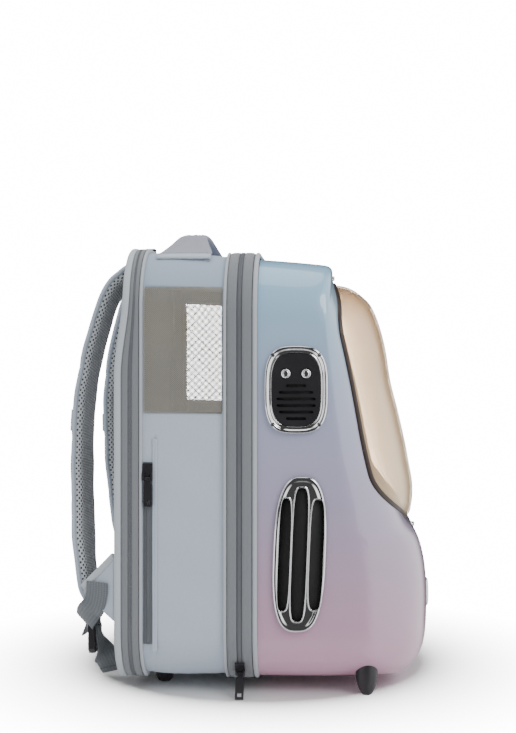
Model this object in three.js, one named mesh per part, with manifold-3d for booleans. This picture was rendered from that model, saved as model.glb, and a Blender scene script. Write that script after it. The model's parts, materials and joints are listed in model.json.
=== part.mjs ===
// Pet carrier backpack with a hard front shell and a clear bubble window.
// Millimetres, +Z up. The bubble faces -Y, the wearer's back is at +Y, the width lies along X.
// The origin is on the ground, under the middle of the whole carrier.

import * as THREE from "three";
import { mergeVertices } from "three/addons/utils/BufferGeometryUtils.js";
import Module from "manifold-3d";

const wasm = await Module();
wasm.setup();

// Driving dimensions

const GAP = 0.3;
const SMALLEST_FACET = 0.02;
const SIDES = { left: -1, right: 1 };

const BODY_HALF_WIDTH = 165;
const BODY_BOTTOM = 14;
const BODY_TOP = 418;
const BODY_TOP_RISE = 4;
const TOP_CORNER = 58;
const BOTTOM_CORNER = 48;
const CORNER_STEPS = 5;
const CLOTH_WALL = 2.5;

const FRONT_BAND_REAR = 18.6;
const FRONT_BAND_WIDTH = 23.3;
const BODY_DEPTH = 75.3;
const REAR_BAND_WIDTH = 16.5;
const BINDING_WIDTH = 6.7;
const BAND_PROUD = 4;
const BAND_RIM_DROP = 1;
const BAND_BEVEL = 1.5;
const BODY_PIPING = 3.2;
const SHELL_PIPING = 4.8;
const REAR_LEAN = 8;
const REAR_LEAN_START = 300;
const REAR_LEAN_END = 380;

const SHELL_DEPTH = 163;
const SHELL_HEIGHT = 403;
const SHELL_BOTTOM = 12;
const SHELL_WALL = 3;
const SHELL_ARC_STEPS = 5;

const DOME_MARGIN = 19;
const DOME_BULGE = 37;
const DOME_WALL = 2.5;
const DOME_SEAT = 4;
const DOME_CROWN_FLAT = 12;
const DOME_ARC_STEPS = 6;
const GASKET_WIDTH = 2.4;
const GASKET_HEIGHT = 3.4;
const DOME_VENTS = 5;
const DOME_VENT_PITCH = 22;
const DOME_VENT_WIDTH = 3;
const DOME_VENT_LENGTH = 19;
const DOME_VENT_DROP = 16;

const WINDOW_BOTTOM = 267;
const WINDOW_TOP = 382;
const WINDOW_HEM = 4;
const NET_THICKNESS = 0.9;

const PANEL_THICKNESS = 4.5;
const PAD_HALF_WIDTH = 126;
const PAD_CORNER = 30;
const UPPER_PAD_BOTTOM = 220;
const UPPER_PAD_TOP = 386;
const UPPER_PAD_REACH = 13;
const LOWER_PAD_BOTTOM = 27;
const LOWER_PAD_TOP = 176;
const LOWER_PAD_REACH = 10.5;

const STRAP_WIDTH = 65;
const STRAP_END_WIDTH = 38;
const STRAP_TAPER_START = 0.78;
const STRAP_THICKNESS = 11;
const STRAP_REACH = 46;
const STRAP_TOP_OUT = 56;
const STRAP_SPREAD = 66;
const STRAP_HEIGHT = 409;
const STRAP_STEPS = 16;

const LOCK_WIDTH = 34;
const LOCK_HEIGHT = 40;
const LOCK_THICKNESS = 6;
const LOCK_BAR = 5;
const WEBBING_WIDTH = 24;
const WEBBING_THICKNESS = 1.8;

const WING_BOTTOM = 70.5;
const WING_HEIGHT = 62;
const WING_TIP_BOTTOM = 94;
const WING_TIP_HEIGHT = 6;
const WING_REACH = 32;
const WING_THICKNESS = 3;
const WING_LEAN = 15;

const HANDLE_HALF_SPAN = 134;
const HANDLE_BASE_WIDTH = 51;
const HANDLE_GRIP_WIDTH = 26;
const HANDLE_RISE = 22;
const HANDLE_MIDDLE = 63;

const GRILLE_MIDDLE = new THREE.Vector2(-46, 289);
const GRILLE_HALF_WIDTH = 29.7;
const GRILLE_HALF_HEIGHT = 41;
const BEZEL_WIDTH = 6.8;
const BEZEL_PROUD = 4.2;
const PLATE_THICKNESS = 2.7;
const SLOT_HEIGHT = 2.7;
const SLOT_PITCH = 6.1;
const BUTTON_RADIUS = 4.6;
const BUTTON_TRAVEL = 1;
const BUTTON_SPACING = 19;
const BUTTON_LIFT = 15;
const SCREW_RADIUS = 2;
const SCREW_SPREAD = 0.945;

const VENT_MIDDLE = new THREE.Vector2(-49.2, 136);
const VENT_HALF_WIDTH = 24.6;
const VENT_HALF_HEIGHT = 72.3;
const VENT_LEAN = 0.04;
const VENT_THICKNESS = 3.4;
const VENT_RIM = 6;
const VENT_BACK_THICKNESS = 1;

const BADGE_RADIUS = 15.5;
const BADGE_PROUD = 7;
const BADGE_HEIGHT = 72.5;
const SHELL_SCREW_RADIUS = 2.6;
const SHELL_SCREW_PROUD = 2.4;
const STUD_ROOT = 8;

const FRONT_FOOT_IN = 25;
const FRONT_FOOT_REACH = 102;
const FRONT_FOOT_RADIUS = 10.5;
const REAR_FOOT_IN = 65;
const REAR_FOOT_FORWARDS = 11.7;
const REAR_FOOT_RADIUS = 10;

const POCKET_TAPE_WIDTH = 9.4;
const POCKET_TAPE_BOTTOM = 50.5;
const POCKET_TAPE_TOP = 221;
const TAPE_THICKNESS = 1;
const SLIDER_LENGTH = 12;
const SLIDER_WIDTH = 9;
const SLIDER_HEIGHT = 2.2;
const SLIDER_LUG = 1.5;
const PULL_LENGTH = 26;
const PULL_WIDTH = 8;
const PULL_THICKNESS = 1.6;
const PIN_RADIUS = 0.9;
const BARREL_RADIUS = 2;
const REAR_SLIDER_OUT = 60;

// Where each hoop of the body starts along Y, counted rearwards from the shell

const FRONT_BAND_FRONT = FRONT_BAND_REAR - FRONT_BAND_WIDTH;
const SHELL_BACK = FRONT_BAND_FRONT - SHELL_PIPING - 2 * GAP;
const BODY_FRONT = FRONT_BAND_REAR + BODY_PIPING + 2 * GAP;
const BODY_REAR = BODY_FRONT + BODY_DEPTH;
const REAR_BAND_FRONT = BODY_REAR + BODY_PIPING + 2 * GAP;
const REAR_BAND_REAR = REAR_BAND_FRONT + REAR_BAND_WIDTH;
const BINDING_FRONT = REAR_BAND_REAR + GAP;
const BINDING_REAR = BINDING_FRONT + BINDING_WIDTH;

// Materials

function finish(color, roughness, metalness = 0) {
  return new THREE.MeshStandardMaterial({ color, roughness, metalness });
}

const shellGloss = finish("#a3a0b1", 0.2);
const bubbleTint = finish("#d8c0a0", 0.1);
const chrome = finish("#d5d7da", 0.12, 1);
const blackPlastic = finish("#242328", 0.45);
const darkRubber = finish("#3a2c26", 0.7);
const cloth = finish("#b6c1c9", 0.9);
const zipTape = finish("#8c9093", 0.9);
const pipingCloth = finish("#c8ccd0", 0.85);
const netting = finish("#85837e", 0.95);
const airMesh = finish("#9a9fa3", 0.95);
const webbing = finish("#6d757b", 0.9);

const carrier = new THREE.Group();

// Solids and meshes

function toSolid(geometry) {
  const bare = geometry.clone();
  bare.deleteAttribute("normal");
  bare.deleteAttribute("uv");
  const merged = mergeVertices(bare, 1e-4);
  const mesh = new wasm.Mesh({
    numProp: 3,
    vertProperties: new Float32Array(merged.attributes.position.array),
    triVerts: new Uint32Array(merged.index.array),
  });
  return new wasm.Manifold(mesh);
}

function toGeometry(solid) {
  const mesh = solid.simplify(SMALLEST_FACET).getMesh();
  const geometry = new THREE.BufferGeometry();
  geometry.setAttribute("position", new THREE.BufferAttribute(mesh.vertProperties, 3));
  geometry.setIndex(new THREE.BufferAttribute(mesh.triVerts, 1));
  return geometry;
}

function addPiece(name, shape, material) {
  const geometry = shape instanceof THREE.BufferGeometry ? shape : toGeometry(shape);
  const mesh = new THREE.Mesh(geometry, material);
  mesh.name = name;
  carrier.add(mesh);
  return mesh;
}

function middleOf(ring) {
  const sum = ring.reduce((total, point) => total.add(point), new THREE.Vector3());
  return sum.divideScalar(ring.length);
}

function signedVolume(points, faces) {
  const edge = new THREE.Vector3();
  return faces.reduce((sum, [a, b, c]) => {
    edge.crossVectors(points[b], points[c]);
    return sum + points[a].dot(edge);
  }, 0);
}

// A skin through rings that all have the same number of points. An open row of rings is capped.
function loftGeometry(rings, looped = false) {
  const count = rings[0].length;
  const points = rings.flat();
  const faces = [];
  const rows = looped ? rings.length : rings.length - 1;
  for (let row = 0; row < rows; row += 1) {
    const nextRow = (row + 1) % rings.length;
    for (let i = 0; i < count; i += 1) {
      const j = (i + 1) % count;
      const a = row * count + i;
      const b = row * count + j;
      const c = nextRow * count + j;
      const d = nextRow * count + i;
      faces.push([a, b, c], [a, c, d]);
    }
  }
  if (!looped) {
    const last = (rings.length - 1) * count;
    const firstCentre = points.push(middleOf(rings[0])) - 1;
    const lastCentre = points.push(middleOf(rings[rings.length - 1])) - 1;
    for (let i = 0; i < count; i += 1) {
      const j = (i + 1) % count;
      faces.push([firstCentre, j, i], [lastCentre, last + i, last + j]);
    }
  }
  if (signedVolume(points, faces) < 0) {
    faces.forEach((face) => face.reverse());
  }
  const geometry = new THREE.BufferGeometry();
  const numbers = points.flatMap((point) => [point.x, point.y, point.z]);
  geometry.setAttribute("position", new THREE.Float32BufferAttribute(numbers, 3));
  geometry.setIndex(faces.flat());
  return geometry;
}

function loft(rings, looped = false) {
  return toSolid(loftGeometry(rings, looped));
}

// Hoops of the soft body

function bodyTopAt(y) {
  const share = THREE.MathUtils.clamp((y - BODY_FRONT) / BODY_DEPTH, 0, 1);
  return BODY_TOP + BODY_TOP_RISE * share;
}

function cornerArc(centreX, centreZ, radius, startTurn) {
  const points = [];
  for (let step = 0; step <= CORNER_STEPS; step += 1) {
    const angle = (startTurn + step / CORNER_STEPS) * (Math.PI / 2);
    points.push([centreX + radius * Math.cos(angle), centreZ + radius * Math.sin(angle)]);
  }
  return points;
}

function outlineXZ(halfWidth, bottom, top, topCorner, bottomCorner) {
  return [
    ...cornerArc(halfWidth - topCorner, top - topCorner, topCorner, 0),
    ...cornerArc(topCorner - halfWidth, top - topCorner, topCorner, 1),
    ...cornerArc(bottomCorner - halfWidth, bottom + bottomCorner, bottomCorner, 2),
    ...cornerArc(halfWidth - bottomCorner, bottom + bottomCorner, bottomCorner, 3),
  ];
}

function bodyRing(y, grow, yShift = () => 0) {
  const outline = outlineXZ(
    BODY_HALF_WIDTH + grow,
    BODY_BOTTOM - grow,
    bodyTopAt(y) + grow,
    TOP_CORNER + grow,
    BOTTOM_CORNER + grow,
  );
  return outline.map(([x, z]) => new THREE.Vector3(x, y + yShift(z), z));
}

// The rear edge leans forwards at the top, where the back bends towards the wearer's neck.
function rearLean(z) {
  return -REAR_LEAN * THREE.MathUtils.smoothstep(z, REAR_LEAN_START, REAR_LEAN_END);
}

// Rows of [y, outer growth, inner growth, share of the rear lean] make a hoop with a wall.
function hoop(rows) {
  const ringAt = (y, grow, lean) => bodyRing(y, grow, (z) => lean * rearLean(z));
  const outside = rows.map(([y, outer, , lean = 0]) => ringAt(y, outer, lean));
  const inside = rows.map(([y, , inner, lean = 0]) => ringAt(y, inner, lean)).reverse();
  return loft([...outside, ...inside], true);
}

// A cord of cloth round the body, as deep as the band stands proud and a little deeper
function piping(y, width) {
  const sides = 6;
  const depth = BAND_PROUD + CLOTH_WALL / 2;
  const rings = [];
  for (let side = 0; side < sides; side += 1) {
    const angle = ((side + 0.5) / sides) * 2 * Math.PI;
    const grow = BAND_PROUD - (depth / 2) * (1 - Math.cos(angle));
    rings.push(bodyRing(y + (width / 2) * Math.sin(angle), grow));
  }
  return loft(rings, true);
}

function addHoops() {
  const bandRim = BAND_PROUD - BAND_RIM_DROP;
  const bevel = BAND_BEVEL;
  addPiece("front_zip_band", hoop([
    [FRONT_BAND_FRONT, bandRim, -CLOTH_WALL],
    [FRONT_BAND_FRONT + bevel, BAND_PROUD, -CLOTH_WALL],
    [FRONT_BAND_REAR - bevel, BAND_PROUD, -CLOTH_WALL],
    [FRONT_BAND_REAR, bandRim, -CLOTH_WALL],
  ]), zipTape);
  addPiece("rear_zip_band", hoop([
    [REAR_BAND_FRONT, bandRim, -CLOTH_WALL, 0],
    [REAR_BAND_FRONT + bevel, BAND_PROUD, -CLOTH_WALL, 0],
    [REAR_BAND_REAR, BAND_PROUD, -CLOTH_WALL, 1],
  ]), zipTape);
  addPiece("rear_binding", hoop([
    [BINDING_FRONT, BAND_PROUD, -CLOTH_WALL, 1],
    [BINDING_REAR - bevel, BAND_PROUD, -CLOTH_WALL, 1],
    [BINDING_REAR, bandRim, -CLOTH_WALL, 1],
  ]), pipingCloth);
  addPiece("shell_piping", piping(SHELL_BACK + GAP + SHELL_PIPING / 2, SHELL_PIPING), pipingCloth);
  addPiece("body_piping_front", piping(FRONT_BAND_REAR + GAP + BODY_PIPING / 2, BODY_PIPING), pipingCloth);
  addPiece("body_piping_rear", piping(BODY_REAR + GAP + BODY_PIPING / 2, BODY_PIPING), pipingCloth);
}

// Shell and bubble

function table(columns, rows) {
  return rows.map((row) => Object.fromEntries(columns.map((column, index) => [column, row[index]])));
}

// The shell from the top of its back rim, forwards over the visor, down the nose and back underneath.
// reach and sideReach are shares of the shell's depth, on the middle line and on the flat side.
// level is a share of its height, sideLevel a share of the flat side's height.
// corner is the width of the round edge between them, in corner radii.
const SHELL_ROWS = table(["reach", "level", "sideReach", "sideLevel", "corner"], [
  [0, 1, 0, 1, 1],
  [0.183, 0.994, 0.153, 0.997, 1],
  [0.355, 0.987, 0.306, 0.983, 1],
  [0.404, 0.983, 0.355, 0.966, 1.02],
  [0.426, 0.973, 0.38, 0.946, 1.05],
  [0.432, 0.945, 0.392, 0.926, 1.08],
  [0.478, 0.876, 0.401, 0.869, 1.12],
  [0.527, 0.804, 0.41, 0.808, 1.15],
  [0.576, 0.722, 0.42, 0.734, 1.18],
  [0.668, 0.568, 0.441, 0.589, 1.28],
  [0.742, 0.474, 0.46, 0.481, 1.38],
  [0.809, 0.412, 0.475, 0.404, 1.5],
  [0.864, 0.37, 0.49, 0.354, 1.62],
  [0.942, 0.328, 0.509, 0.303, 1.75],
  [0.984, 0.27, 0.527, 0.242, 1.88],
  [1, 0.206, 0.539, 0.185, 1.92],
  [1, 0.144, 0.542, 0.128, 1.9],
  [0.987, 0.082, 0.536, 0.081, 1.82],
  [0.944, 0.035, 0.521, 0.044, 1.7],
  [0.858, 0.006, 0.49, 0.017, 1.5],
  [0.736, 0, 0.429, 0.003, 1.3],
  [0.367, 0, 0.214, 0, 1.05],
  [0, 0, 0, 0, 1],
]);

// The bubble in the same shares of the shell's depth and height. bulge is a share of the bulge,
// which stands in front of the middle line.
const DOME_ROWS = table(["reach", "bulge", "level", "sideReach", "sideLevel"], [
  [0.3, 0, 0.953, 0.22, 0.819],
  [0.429, 0.054, 0.952, 0.38, 0.816],
  [0.441, 0.432, 0.943, 0.429, 0.811],
  [0.453, 0.73, 0.921, 0.46, 0.801],
  [0.469, 0.905, 0.896, 0.472, 0.789],
  [0.496, 1, 0.851, 0.478, 0.764],
  [0.539, 1, 0.784, 0.487, 0.73],
  [0.588, 0.919, 0.705, 0.502, 0.69],
  [0.634, 0.932, 0.625, 0.539, 0.625],
  [0.68, 0.919, 0.548, 0.588, 0.566],
  [0.723, 0.838, 0.494, 0.619, 0.531],
  [0.772, 0.716, 0.442, 0.637, 0.506],
  [0.84, 0.392, 0.39, 0.631, 0.494],
  [0.883, 0.027, 0.357, 0.601, 0.489],
  [0.7, 0, 0.347, 0.4, 0.486],
]);

// Moves an outline in the YZ plane inwards. It runs forwards over the top and back underneath.
function insetOutline(points, inset) {
  return points.map((point, index) => {
    const before = points[Math.max(index - 1, 0)];
    const after = points[Math.min(index + 1, points.length - 1)];
    const along = new THREE.Vector2().subVectors(after, before).normalize();
    return new THREE.Vector2(point.x - along.y * inset, point.y + along.x * inset);
  });
}

// A closed body between two flat sides. Its profile swells from the side outline to the middle one.
function swollenBody({ middle, side, flats, halfWidth, arcSteps }) {
  const ringAt = (step, sign) => {
    const angle = (step / arcSteps) * (Math.PI / 2);
    const swell = Math.sin(angle);
    return middle.map((point, index) => {
      const x = flats[index] + (halfWidth - flats[index]) * Math.cos(angle);
      const y = THREE.MathUtils.lerp(side[index].x, point.x, swell);
      const z = THREE.MathUtils.lerp(side[index].y, point.y, swell);
      return new THREE.Vector3(sign * x, y, z);
    });
  };
  const steps = Array.from({ length: arcSteps + 1 }, (_, step) => step);
  const left = steps.map((step) => ringAt(step, SIDES.left));
  const right = steps.map((step) => ringAt(step, SIDES.right)).reverse();
  return loft([...left, ...right]);
}

function shellPoint(reach, level) {
  return new THREE.Vector2(SHELL_BACK - reach * SHELL_DEPTH, SHELL_BOTTOM + level * SHELL_HEIGHT);
}

function shellBody(inset, backExtension = 0) {
  const sideBottom = SHELL_BOTTOM + BOTTOM_CORNER;
  const sideTop = SHELL_BOTTOM + SHELL_HEIGHT - TOP_CORNER;
  const middle = SHELL_ROWS.map((row) => shellPoint(row.reach, row.level));
  const side = SHELL_ROWS.map((row) => new THREE.Vector2(
    SHELL_BACK - row.sideReach * SHELL_DEPTH,
    THREE.MathUtils.lerp(sideBottom, sideTop, row.sideLevel),
  ));
  const flats = SHELL_ROWS.map((row) => {
    const radius = THREE.MathUtils.lerp(BOTTOM_CORNER, TOP_CORNER, row.sideLevel);
    return BODY_HALF_WIDTH - radius * row.corner;
  });
  const squareBack = (points) => {
    points[0].x = SHELL_BACK + backExtension;
    points[points.length - 1].x = SHELL_BACK + backExtension;
    return points;
  };
  return swollenBody({
    middle: squareBack(insetOutline(middle, inset)),
    side: squareBack(insetOutline(side, inset)),
    flats,
    halfWidth: BODY_HALF_WIDTH - inset,
    arcSteps: SHELL_ARC_STEPS,
  });
}

function domePoint(row) {
  const point = shellPoint(row.reach, row.level);
  point.x -= row.bulge * DOME_BULGE;
  return point;
}

function domeBody(inset) {
  return swollenBody({
    middle: insetOutline(DOME_ROWS.map(domePoint), inset),
    side: insetOutline(DOME_ROWS.map((row) => shellPoint(row.sideReach, row.sideLevel)), inset),
    flats: DOME_ROWS.map(() => DOME_CROWN_FLAT),
    halfWidth: BODY_HALF_WIDTH - DOME_MARGIN - inset,
    arcSteps: DOME_ARC_STEPS,
  });
}

function boxBetween(low, high) {
  const size = new THREE.Vector3().subVectors(high, low);
  const box = new THREE.BoxGeometry(size.x, size.y, size.z);
  box.translate((low.x + high.x) / 2, (low.y + high.y) / 2, (low.z + high.z) / 2);
  return box;
}

// Short slots side by side over the brow of the bubble
function domeVentCutters() {
  const ventLevel = DOME_ROWS[0].level - DOME_VENT_DROP / SHELL_HEIGHT;
  const above = DOME_ROWS.findIndex((row) => row.level < ventLevel) - 1;
  const span = DOME_ROWS[above].level - DOME_ROWS[above + 1].level;
  const share = (DOME_ROWS[above].level - ventLevel) / span;
  const middle = domePoint(DOME_ROWS[above]).lerp(domePoint(DOME_ROWS[above + 1]), share);
  const side = shellPoint(DOME_ROWS[above].sideReach, DOME_ROWS[above].sideLevel);
  const halfWidth = BODY_HALF_WIDTH - DOME_MARGIN;
  const cutters = [];
  for (let vent = 0; vent < DOME_VENTS; vent += 1) {
    const x = (vent - (DOME_VENTS - 1) / 2) * DOME_VENT_PITCH;
    const swell = Math.sqrt(1 - (x / halfWidth) ** 2);
    const centre = side.clone().lerp(middle, swell);
    const slot = new THREE.BoxGeometry(DOME_VENT_WIDTH, DOME_VENT_LENGTH, 6 * DOME_WALL);
    slot.rotateX(Math.PI / 4);
    slot.translate(x, centre.x, centre.y);
    cutters.push(toSolid(slot));
  }
  return cutters;
}

function addShell() {
  const opening = domeBody(DOME_WALL + DOME_SEAT);
  const hollow = shellBody(SHELL_WALL, 5);
  addPiece("front_shell", shellBody(0).subtract(hollow).subtract(opening), shellGloss);

  const shellClear = shellBody(-GAP, GAP);
  let dome = domeBody(0).subtract(domeBody(DOME_WALL)).subtract(shellClear);
  domeVentCutters().forEach((cutter) => {
    dome = dome.subtract(cutter);
  });
  addPiece("bubble_window", dome, bubbleTint);

  const gasket = domeBody(-GASKET_WIDTH - GAP).subtract(domeBody(-GAP))
    .intersect(shellBody(-GASKET_HEIGHT)).subtract(shellClear);
  addPiece("bubble_gasket", gasket, darkRubber);
}

// Cloth body with its net windows

function addBody() {
  const walls = hoop([
    [BODY_FRONT, 0, -CLOTH_WALL],
    [BODY_REAR, 0, -CLOTH_WALL],
  ]);
  const reach = BODY_HALF_WIDTH + BAND_PROUD;
  const window = toSolid(boxBetween(
    new THREE.Vector3(-reach, BODY_FRONT + WINDOW_HEM, WINDOW_BOTTOM + WINDOW_HEM),
    new THREE.Vector3(reach, BODY_REAR - WINDOW_HEM, WINDOW_TOP - WINDOW_HEM),
  ));
  addPiece("cloth_body", walls.subtract(window), cloth);

  const netHoop = hoop([
    [BODY_FRONT + GAP, GAP + NET_THICKNESS, GAP],
    [BODY_REAR - GAP, GAP + NET_THICKNESS, GAP],
  ]);
  Object.entries(SIDES).forEach(([name, sign]) => {
    const part = toSolid(boxBetween(
      new THREE.Vector3(Math.min(0, sign * reach), BODY_FRONT, WINDOW_BOTTOM),
      new THREE.Vector3(Math.max(0, sign * reach), BODY_REAR, WINDOW_TOP),
    ));
    addPiece(`net_window_${name}`, netHoop.intersect(part), netting);
  });
}

// Back panel, pads and shoulder straps

function backPanel(grow) {
  const rim = -CLOTH_WALL - GAP + grow;
  const front = BINDING_REAR - PANEL_THICKNESS - grow;
  const rear = BINDING_REAR + grow;
  return loft([front, rear].map((y) => bodyRing(y, rim, rearLean)));
}

function pad(bottom, top, reach) {
  const slices = table(["depth", "inset", "lean"], [
    [0, 0.05, 1],
    [0.5, 0, 0.5],
    [0.85, 0.12, 0],
    [1, 0.45, 0],
  ]);
  const rings = slices.map(({ depth, inset, lean }) => {
    const shrink = inset * PAD_CORNER;
    const corner = PAD_CORNER - shrink * 0.5;
    const outline = outlineXZ(PAD_HALF_WIDTH - shrink, bottom + shrink, top - shrink, corner, corner);
    return outline.map(([x, z]) => {
      const rear = BINDING_REAR + GAP / 2 + depth * reach;
      return new THREE.Vector3(x, rear + lean * rearLean(z), z);
    });
  });
  return loft(rings).subtract(backPanel(GAP));
}

function addBack() {
  addPiece("back_panel", backPanel(0), airMesh);
  addPiece("back_pad_upper", pad(UPPER_PAD_BOTTOM, UPPER_PAD_TOP, UPPER_PAD_REACH), airMesh);
  addPiece("back_pad_lower", pad(LOWER_PAD_BOTTOM, LOWER_PAD_TOP, LOWER_PAD_REACH), airMesh);
}

// A flat band along a curve. widthAt and acrossAt give its width and the direction of that width
// at each share of the way. edge is the part of the half thickness that is bevelled off.
function ribbon(points, steps, widthAt, thickness, acrossAt, edge = 0) {
  const curve = new THREE.CatmullRomCurve3(points, false, "centripetal");
  const rings = [];
  for (let step = 0; step <= steps; step += 1) {
    const share = step / steps;
    const centre = curve.getPointAt(share);
    const along = curve.getTangentAt(share);
    const across = acrossAt(share).clone().addScaledVector(along, -acrossAt(share).dot(along)).normalize();
    const out = new THREE.Vector3().crossVectors(across, along);
    const halfWidth = widthAt(share) / 2;
    const halfThick = thickness / 2;
    const side = 1 - edge * thickness / (2 * halfWidth);
    const face = 1 - edge;
    const corners = edge > 0
      ? [[1, face], [side, 1], [-side, 1], [-1, face], [-1, -face], [-side, -1], [side, -1], [1, -face]]
      : [[1, 1], [-1, 1], [-1, -1], [1, -1]];
    rings.push(corners.map(([w, t]) => centre.clone()
      .addScaledVector(across, w * halfWidth)
      .addScaledVector(out, t * halfThick)));
  }
  return loft(rings);
}

// spread is a share of the spread from top to bottom, back a share of the reach behind the binding,
// level a share of the strap's height.
const STRAP_ROUTE = table(["spread", "back", "level"], [
  [0, -0.11, 1],
  [0.02, 0.03, 0.993],
  [0.04, 0.17, 0.98],
  [0.06, 0.34, 0.96],
  [0.1, 0.54, 0.917],
  [0.15, 0.72, 0.847],
  [0.21, 0.85, 0.785],
  [0.3, 0.965, 0.697],
  [0.4, 1, 0.611],
  [0.5, 0.985, 0.501],
  [0.64, 0.924, 0.391],
  [0.77, 0.86, 0.313],
  [0.89, 0.745, 0.24],
  [0.97, 0.62, 0.205],
  [1, 0.59, 0.181],
]);

// The lower webbing lies on the wing's outer face and passes round the strap's end to the ladder lock.
// share runs from the wing's hem to the lock; out, back and up are in webbing widths.
const WEBBING_ROUTE = table(["share", "out", "back", "up"], [
  [0, 0.12, 0.05, -0.4],
  [0, 0.11, 0.07, -0.9],
  [0, -0.02, 0.2, -1.36],
  [0.5, 0.33, 0.17, -0.38],
  [0.75, 0.27, 0.25, -0.1],
  [0.9, 0.11, 0.13, 0],
  [1, 0, 0, 0],
]);

// The loose tail below the lock, in millimetres from the lock's inner face
const TAIL_ROUTE = table(["inwards", "forwards", "drop"], [
  [0, 0, 0],
  [3, 1, 10],
  [10, 3, 22],
  [22, 6, 34],
  [34, 9, 45],
]);

function strapPoint(sign, { spread, back, level }) {
  const out = STRAP_TOP_OUT + spread * STRAP_SPREAD;
  return new THREE.Vector3(sign * out, BINDING_REAR + back * STRAP_REACH, level * STRAP_HEIGHT);
}

// Everything that hangs from one shoulder strap, made on the left and mirrored to the right
function addStrap(name) {
  const sign = SIDES.left;
  const addSided = (piece, solid, material) => {
    const sided = name === "right" ? solid.mirror([1, 0, 0]) : solid;
    addPiece(`${piece}_${name}`, sided, material);
  };
  const route = STRAP_ROUTE.map((row) => strapPoint(sign, row));
  const across = new THREE.Vector3(1, 0, 0);
  const strapWidth = (share) => {
    const taper = THREE.MathUtils.smoothstep(share, STRAP_TAPER_START, 1);
    return THREE.MathUtils.lerp(STRAP_WIDTH, STRAP_END_WIDTH, taper);
  };
  const strap = ribbon(route, STRAP_STEPS, strapWidth, STRAP_THICKNESS, () => across, 0.45);
  const end = route[route.length - 1];
  const belowEnd = toSolid(boxBetween(
    new THREE.Vector3(end.x - STRAP_WIDTH, end.y - STRAP_THICKNESS, end.z - STRAP_WIDTH),
    new THREE.Vector3(end.x + STRAP_WIDTH, end.y + STRAP_THICKNESS, end.z),
  ));
  addSided("shoulder_strap", strap.subtract(backPanel(GAP)).subtract(belowEnd), cloth);

  const lockTop = end.z - GAP;
  const frame = new THREE.Shape();
  const half = LOCK_WIDTH / 2;
  const chamfer = LOCK_BAR;
  frame.moveTo(-half, -chamfer);
  frame.lineTo(chamfer - half, 0);
  frame.lineTo(half - chamfer, 0);
  frame.lineTo(half, -chamfer);
  frame.lineTo(half, chamfer - LOCK_HEIGHT);
  frame.lineTo(half - chamfer, -LOCK_HEIGHT);
  frame.lineTo(chamfer - half, -LOCK_HEIGHT);
  frame.lineTo(-half, chamfer - LOCK_HEIGHT);
  const blank = new THREE.ExtrudeGeometry(frame, { depth: LOCK_THICKNESS, bevelEnabled: false });
  blank.translate(0, 0, -LOCK_THICKNESS / 2);
  blank.rotateX(Math.PI / 2);
  const slotHeight = (LOCK_HEIGHT - 3 * LOCK_BAR) / 2;
  let lock = toSolid(blank);
  [LOCK_BAR, 2 * LOCK_BAR + slotHeight].forEach((drop) => {
    lock = lock.subtract(toSolid(boxBetween(
      new THREE.Vector3(LOCK_BAR - half, -LOCK_THICKNESS, -drop - slotHeight),
      new THREE.Vector3(half - LOCK_BAR, LOCK_THICKNESS, -drop),
    )));
  });
  addSided("ladder_lock", lock.translate([end.x, end.y, lockTop]), blackPlastic);
  const lockZone = toSolid(boxBetween(
    new THREE.Vector3(end.x - half - GAP, end.y - LOCK_THICKNESS / 2 - GAP, lockTop - LOCK_HEIGHT - GAP),
    new THREE.Vector3(end.x + half + GAP, end.y + LOCK_THICKNESS / 2 + GAP, lockTop + GAP),
  ));

  const wingRoot = BINDING_REAR + GAP;
  const wingOut = BODY_HALF_WIDTH - WING_THICKNESS / 2;
  const slice = (share, low, height, grow) => [[1, 0], [1, 1], [-1, 1], [-1, 0]].map(([side, up]) => (
    new THREE.Vector3(
      sign * (wingOut - share * WING_LEAN + side * (WING_THICKNESS / 2 + grow)),
      wingRoot + share * (WING_REACH + grow),
      low - grow + up * (height + 2 * grow),
    )));
  const wing = (grow) => loft([
    slice(0, WING_BOTTOM, WING_HEIGHT, grow),
    slice(1, WING_TIP_BOTTOM, WING_TIP_HEIGHT, grow),
  ]);
  addSided("wing", wing(0), cloth);

  const onFace = LOCK_THICKNESS / 2 + GAP + WEBBING_THICKNESS / 2;
  const hemHeight = (WING_BOTTOM + WING_HEIGHT + WING_TIP_BOTTOM + WING_TIP_HEIGHT) / 2;
  const hem = new THREE.Vector3(sign * (wingOut - WING_LEAN / 2), wingRoot + WING_REACH / 2, hemHeight + GAP);
  const lockFace = new THREE.Vector3(end.x, end.y + onFace, lockTop - LOCK_HEIGHT / 2);
  const webbingRoute = WEBBING_ROUTE.map(({ share, out, back, up }) => {
    const away = new THREE.Vector3(sign * out, back, up).multiplyScalar(WEBBING_WIDTH);
    return hem.clone().lerp(lockFace, share).add(away);
  });
  const alongWing = new THREE.Vector3(-sign * WING_LEAN, WING_REACH, 0).normalize();
  const webbingTurn = (share) => {
    const turn = THREE.MathUtils.smoothstep(share, 0.4, 1);
    return alongWing.clone().lerp(across, turn);
  };
  addSided("wing_webbing", ribbon(
    webbingRoute, 14, () => WEBBING_WIDTH, WEBBING_THICKNESS, webbingTurn,
  ).subtract(lockZone).subtract(wing(GAP)), webbing);

  const tailStart = new THREE.Vector3(end.x, end.y - onFace, lockTop - LOCK_HEIGHT * 0.55);
  const tailRoute = TAIL_ROUTE.map(({ inwards, forwards, drop }) => (
    new THREE.Vector3(tailStart.x - sign * inwards, tailStart.y - forwards, tailStart.z - drop)));
  const tailTurn = (share) => {
    const angle = THREE.MathUtils.smoothstep(share, 0.1, 0.7) * Math.PI * 0.42;
    return new THREE.Vector3(sign * Math.cos(angle), Math.sin(angle), 0);
  };
  addSided("webbing_tail", ribbon(
    tailRoute, 7, () => WEBBING_WIDTH, WEBBING_THICKNESS, tailTurn,
  ).subtract(lockZone), webbing);
}

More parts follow.
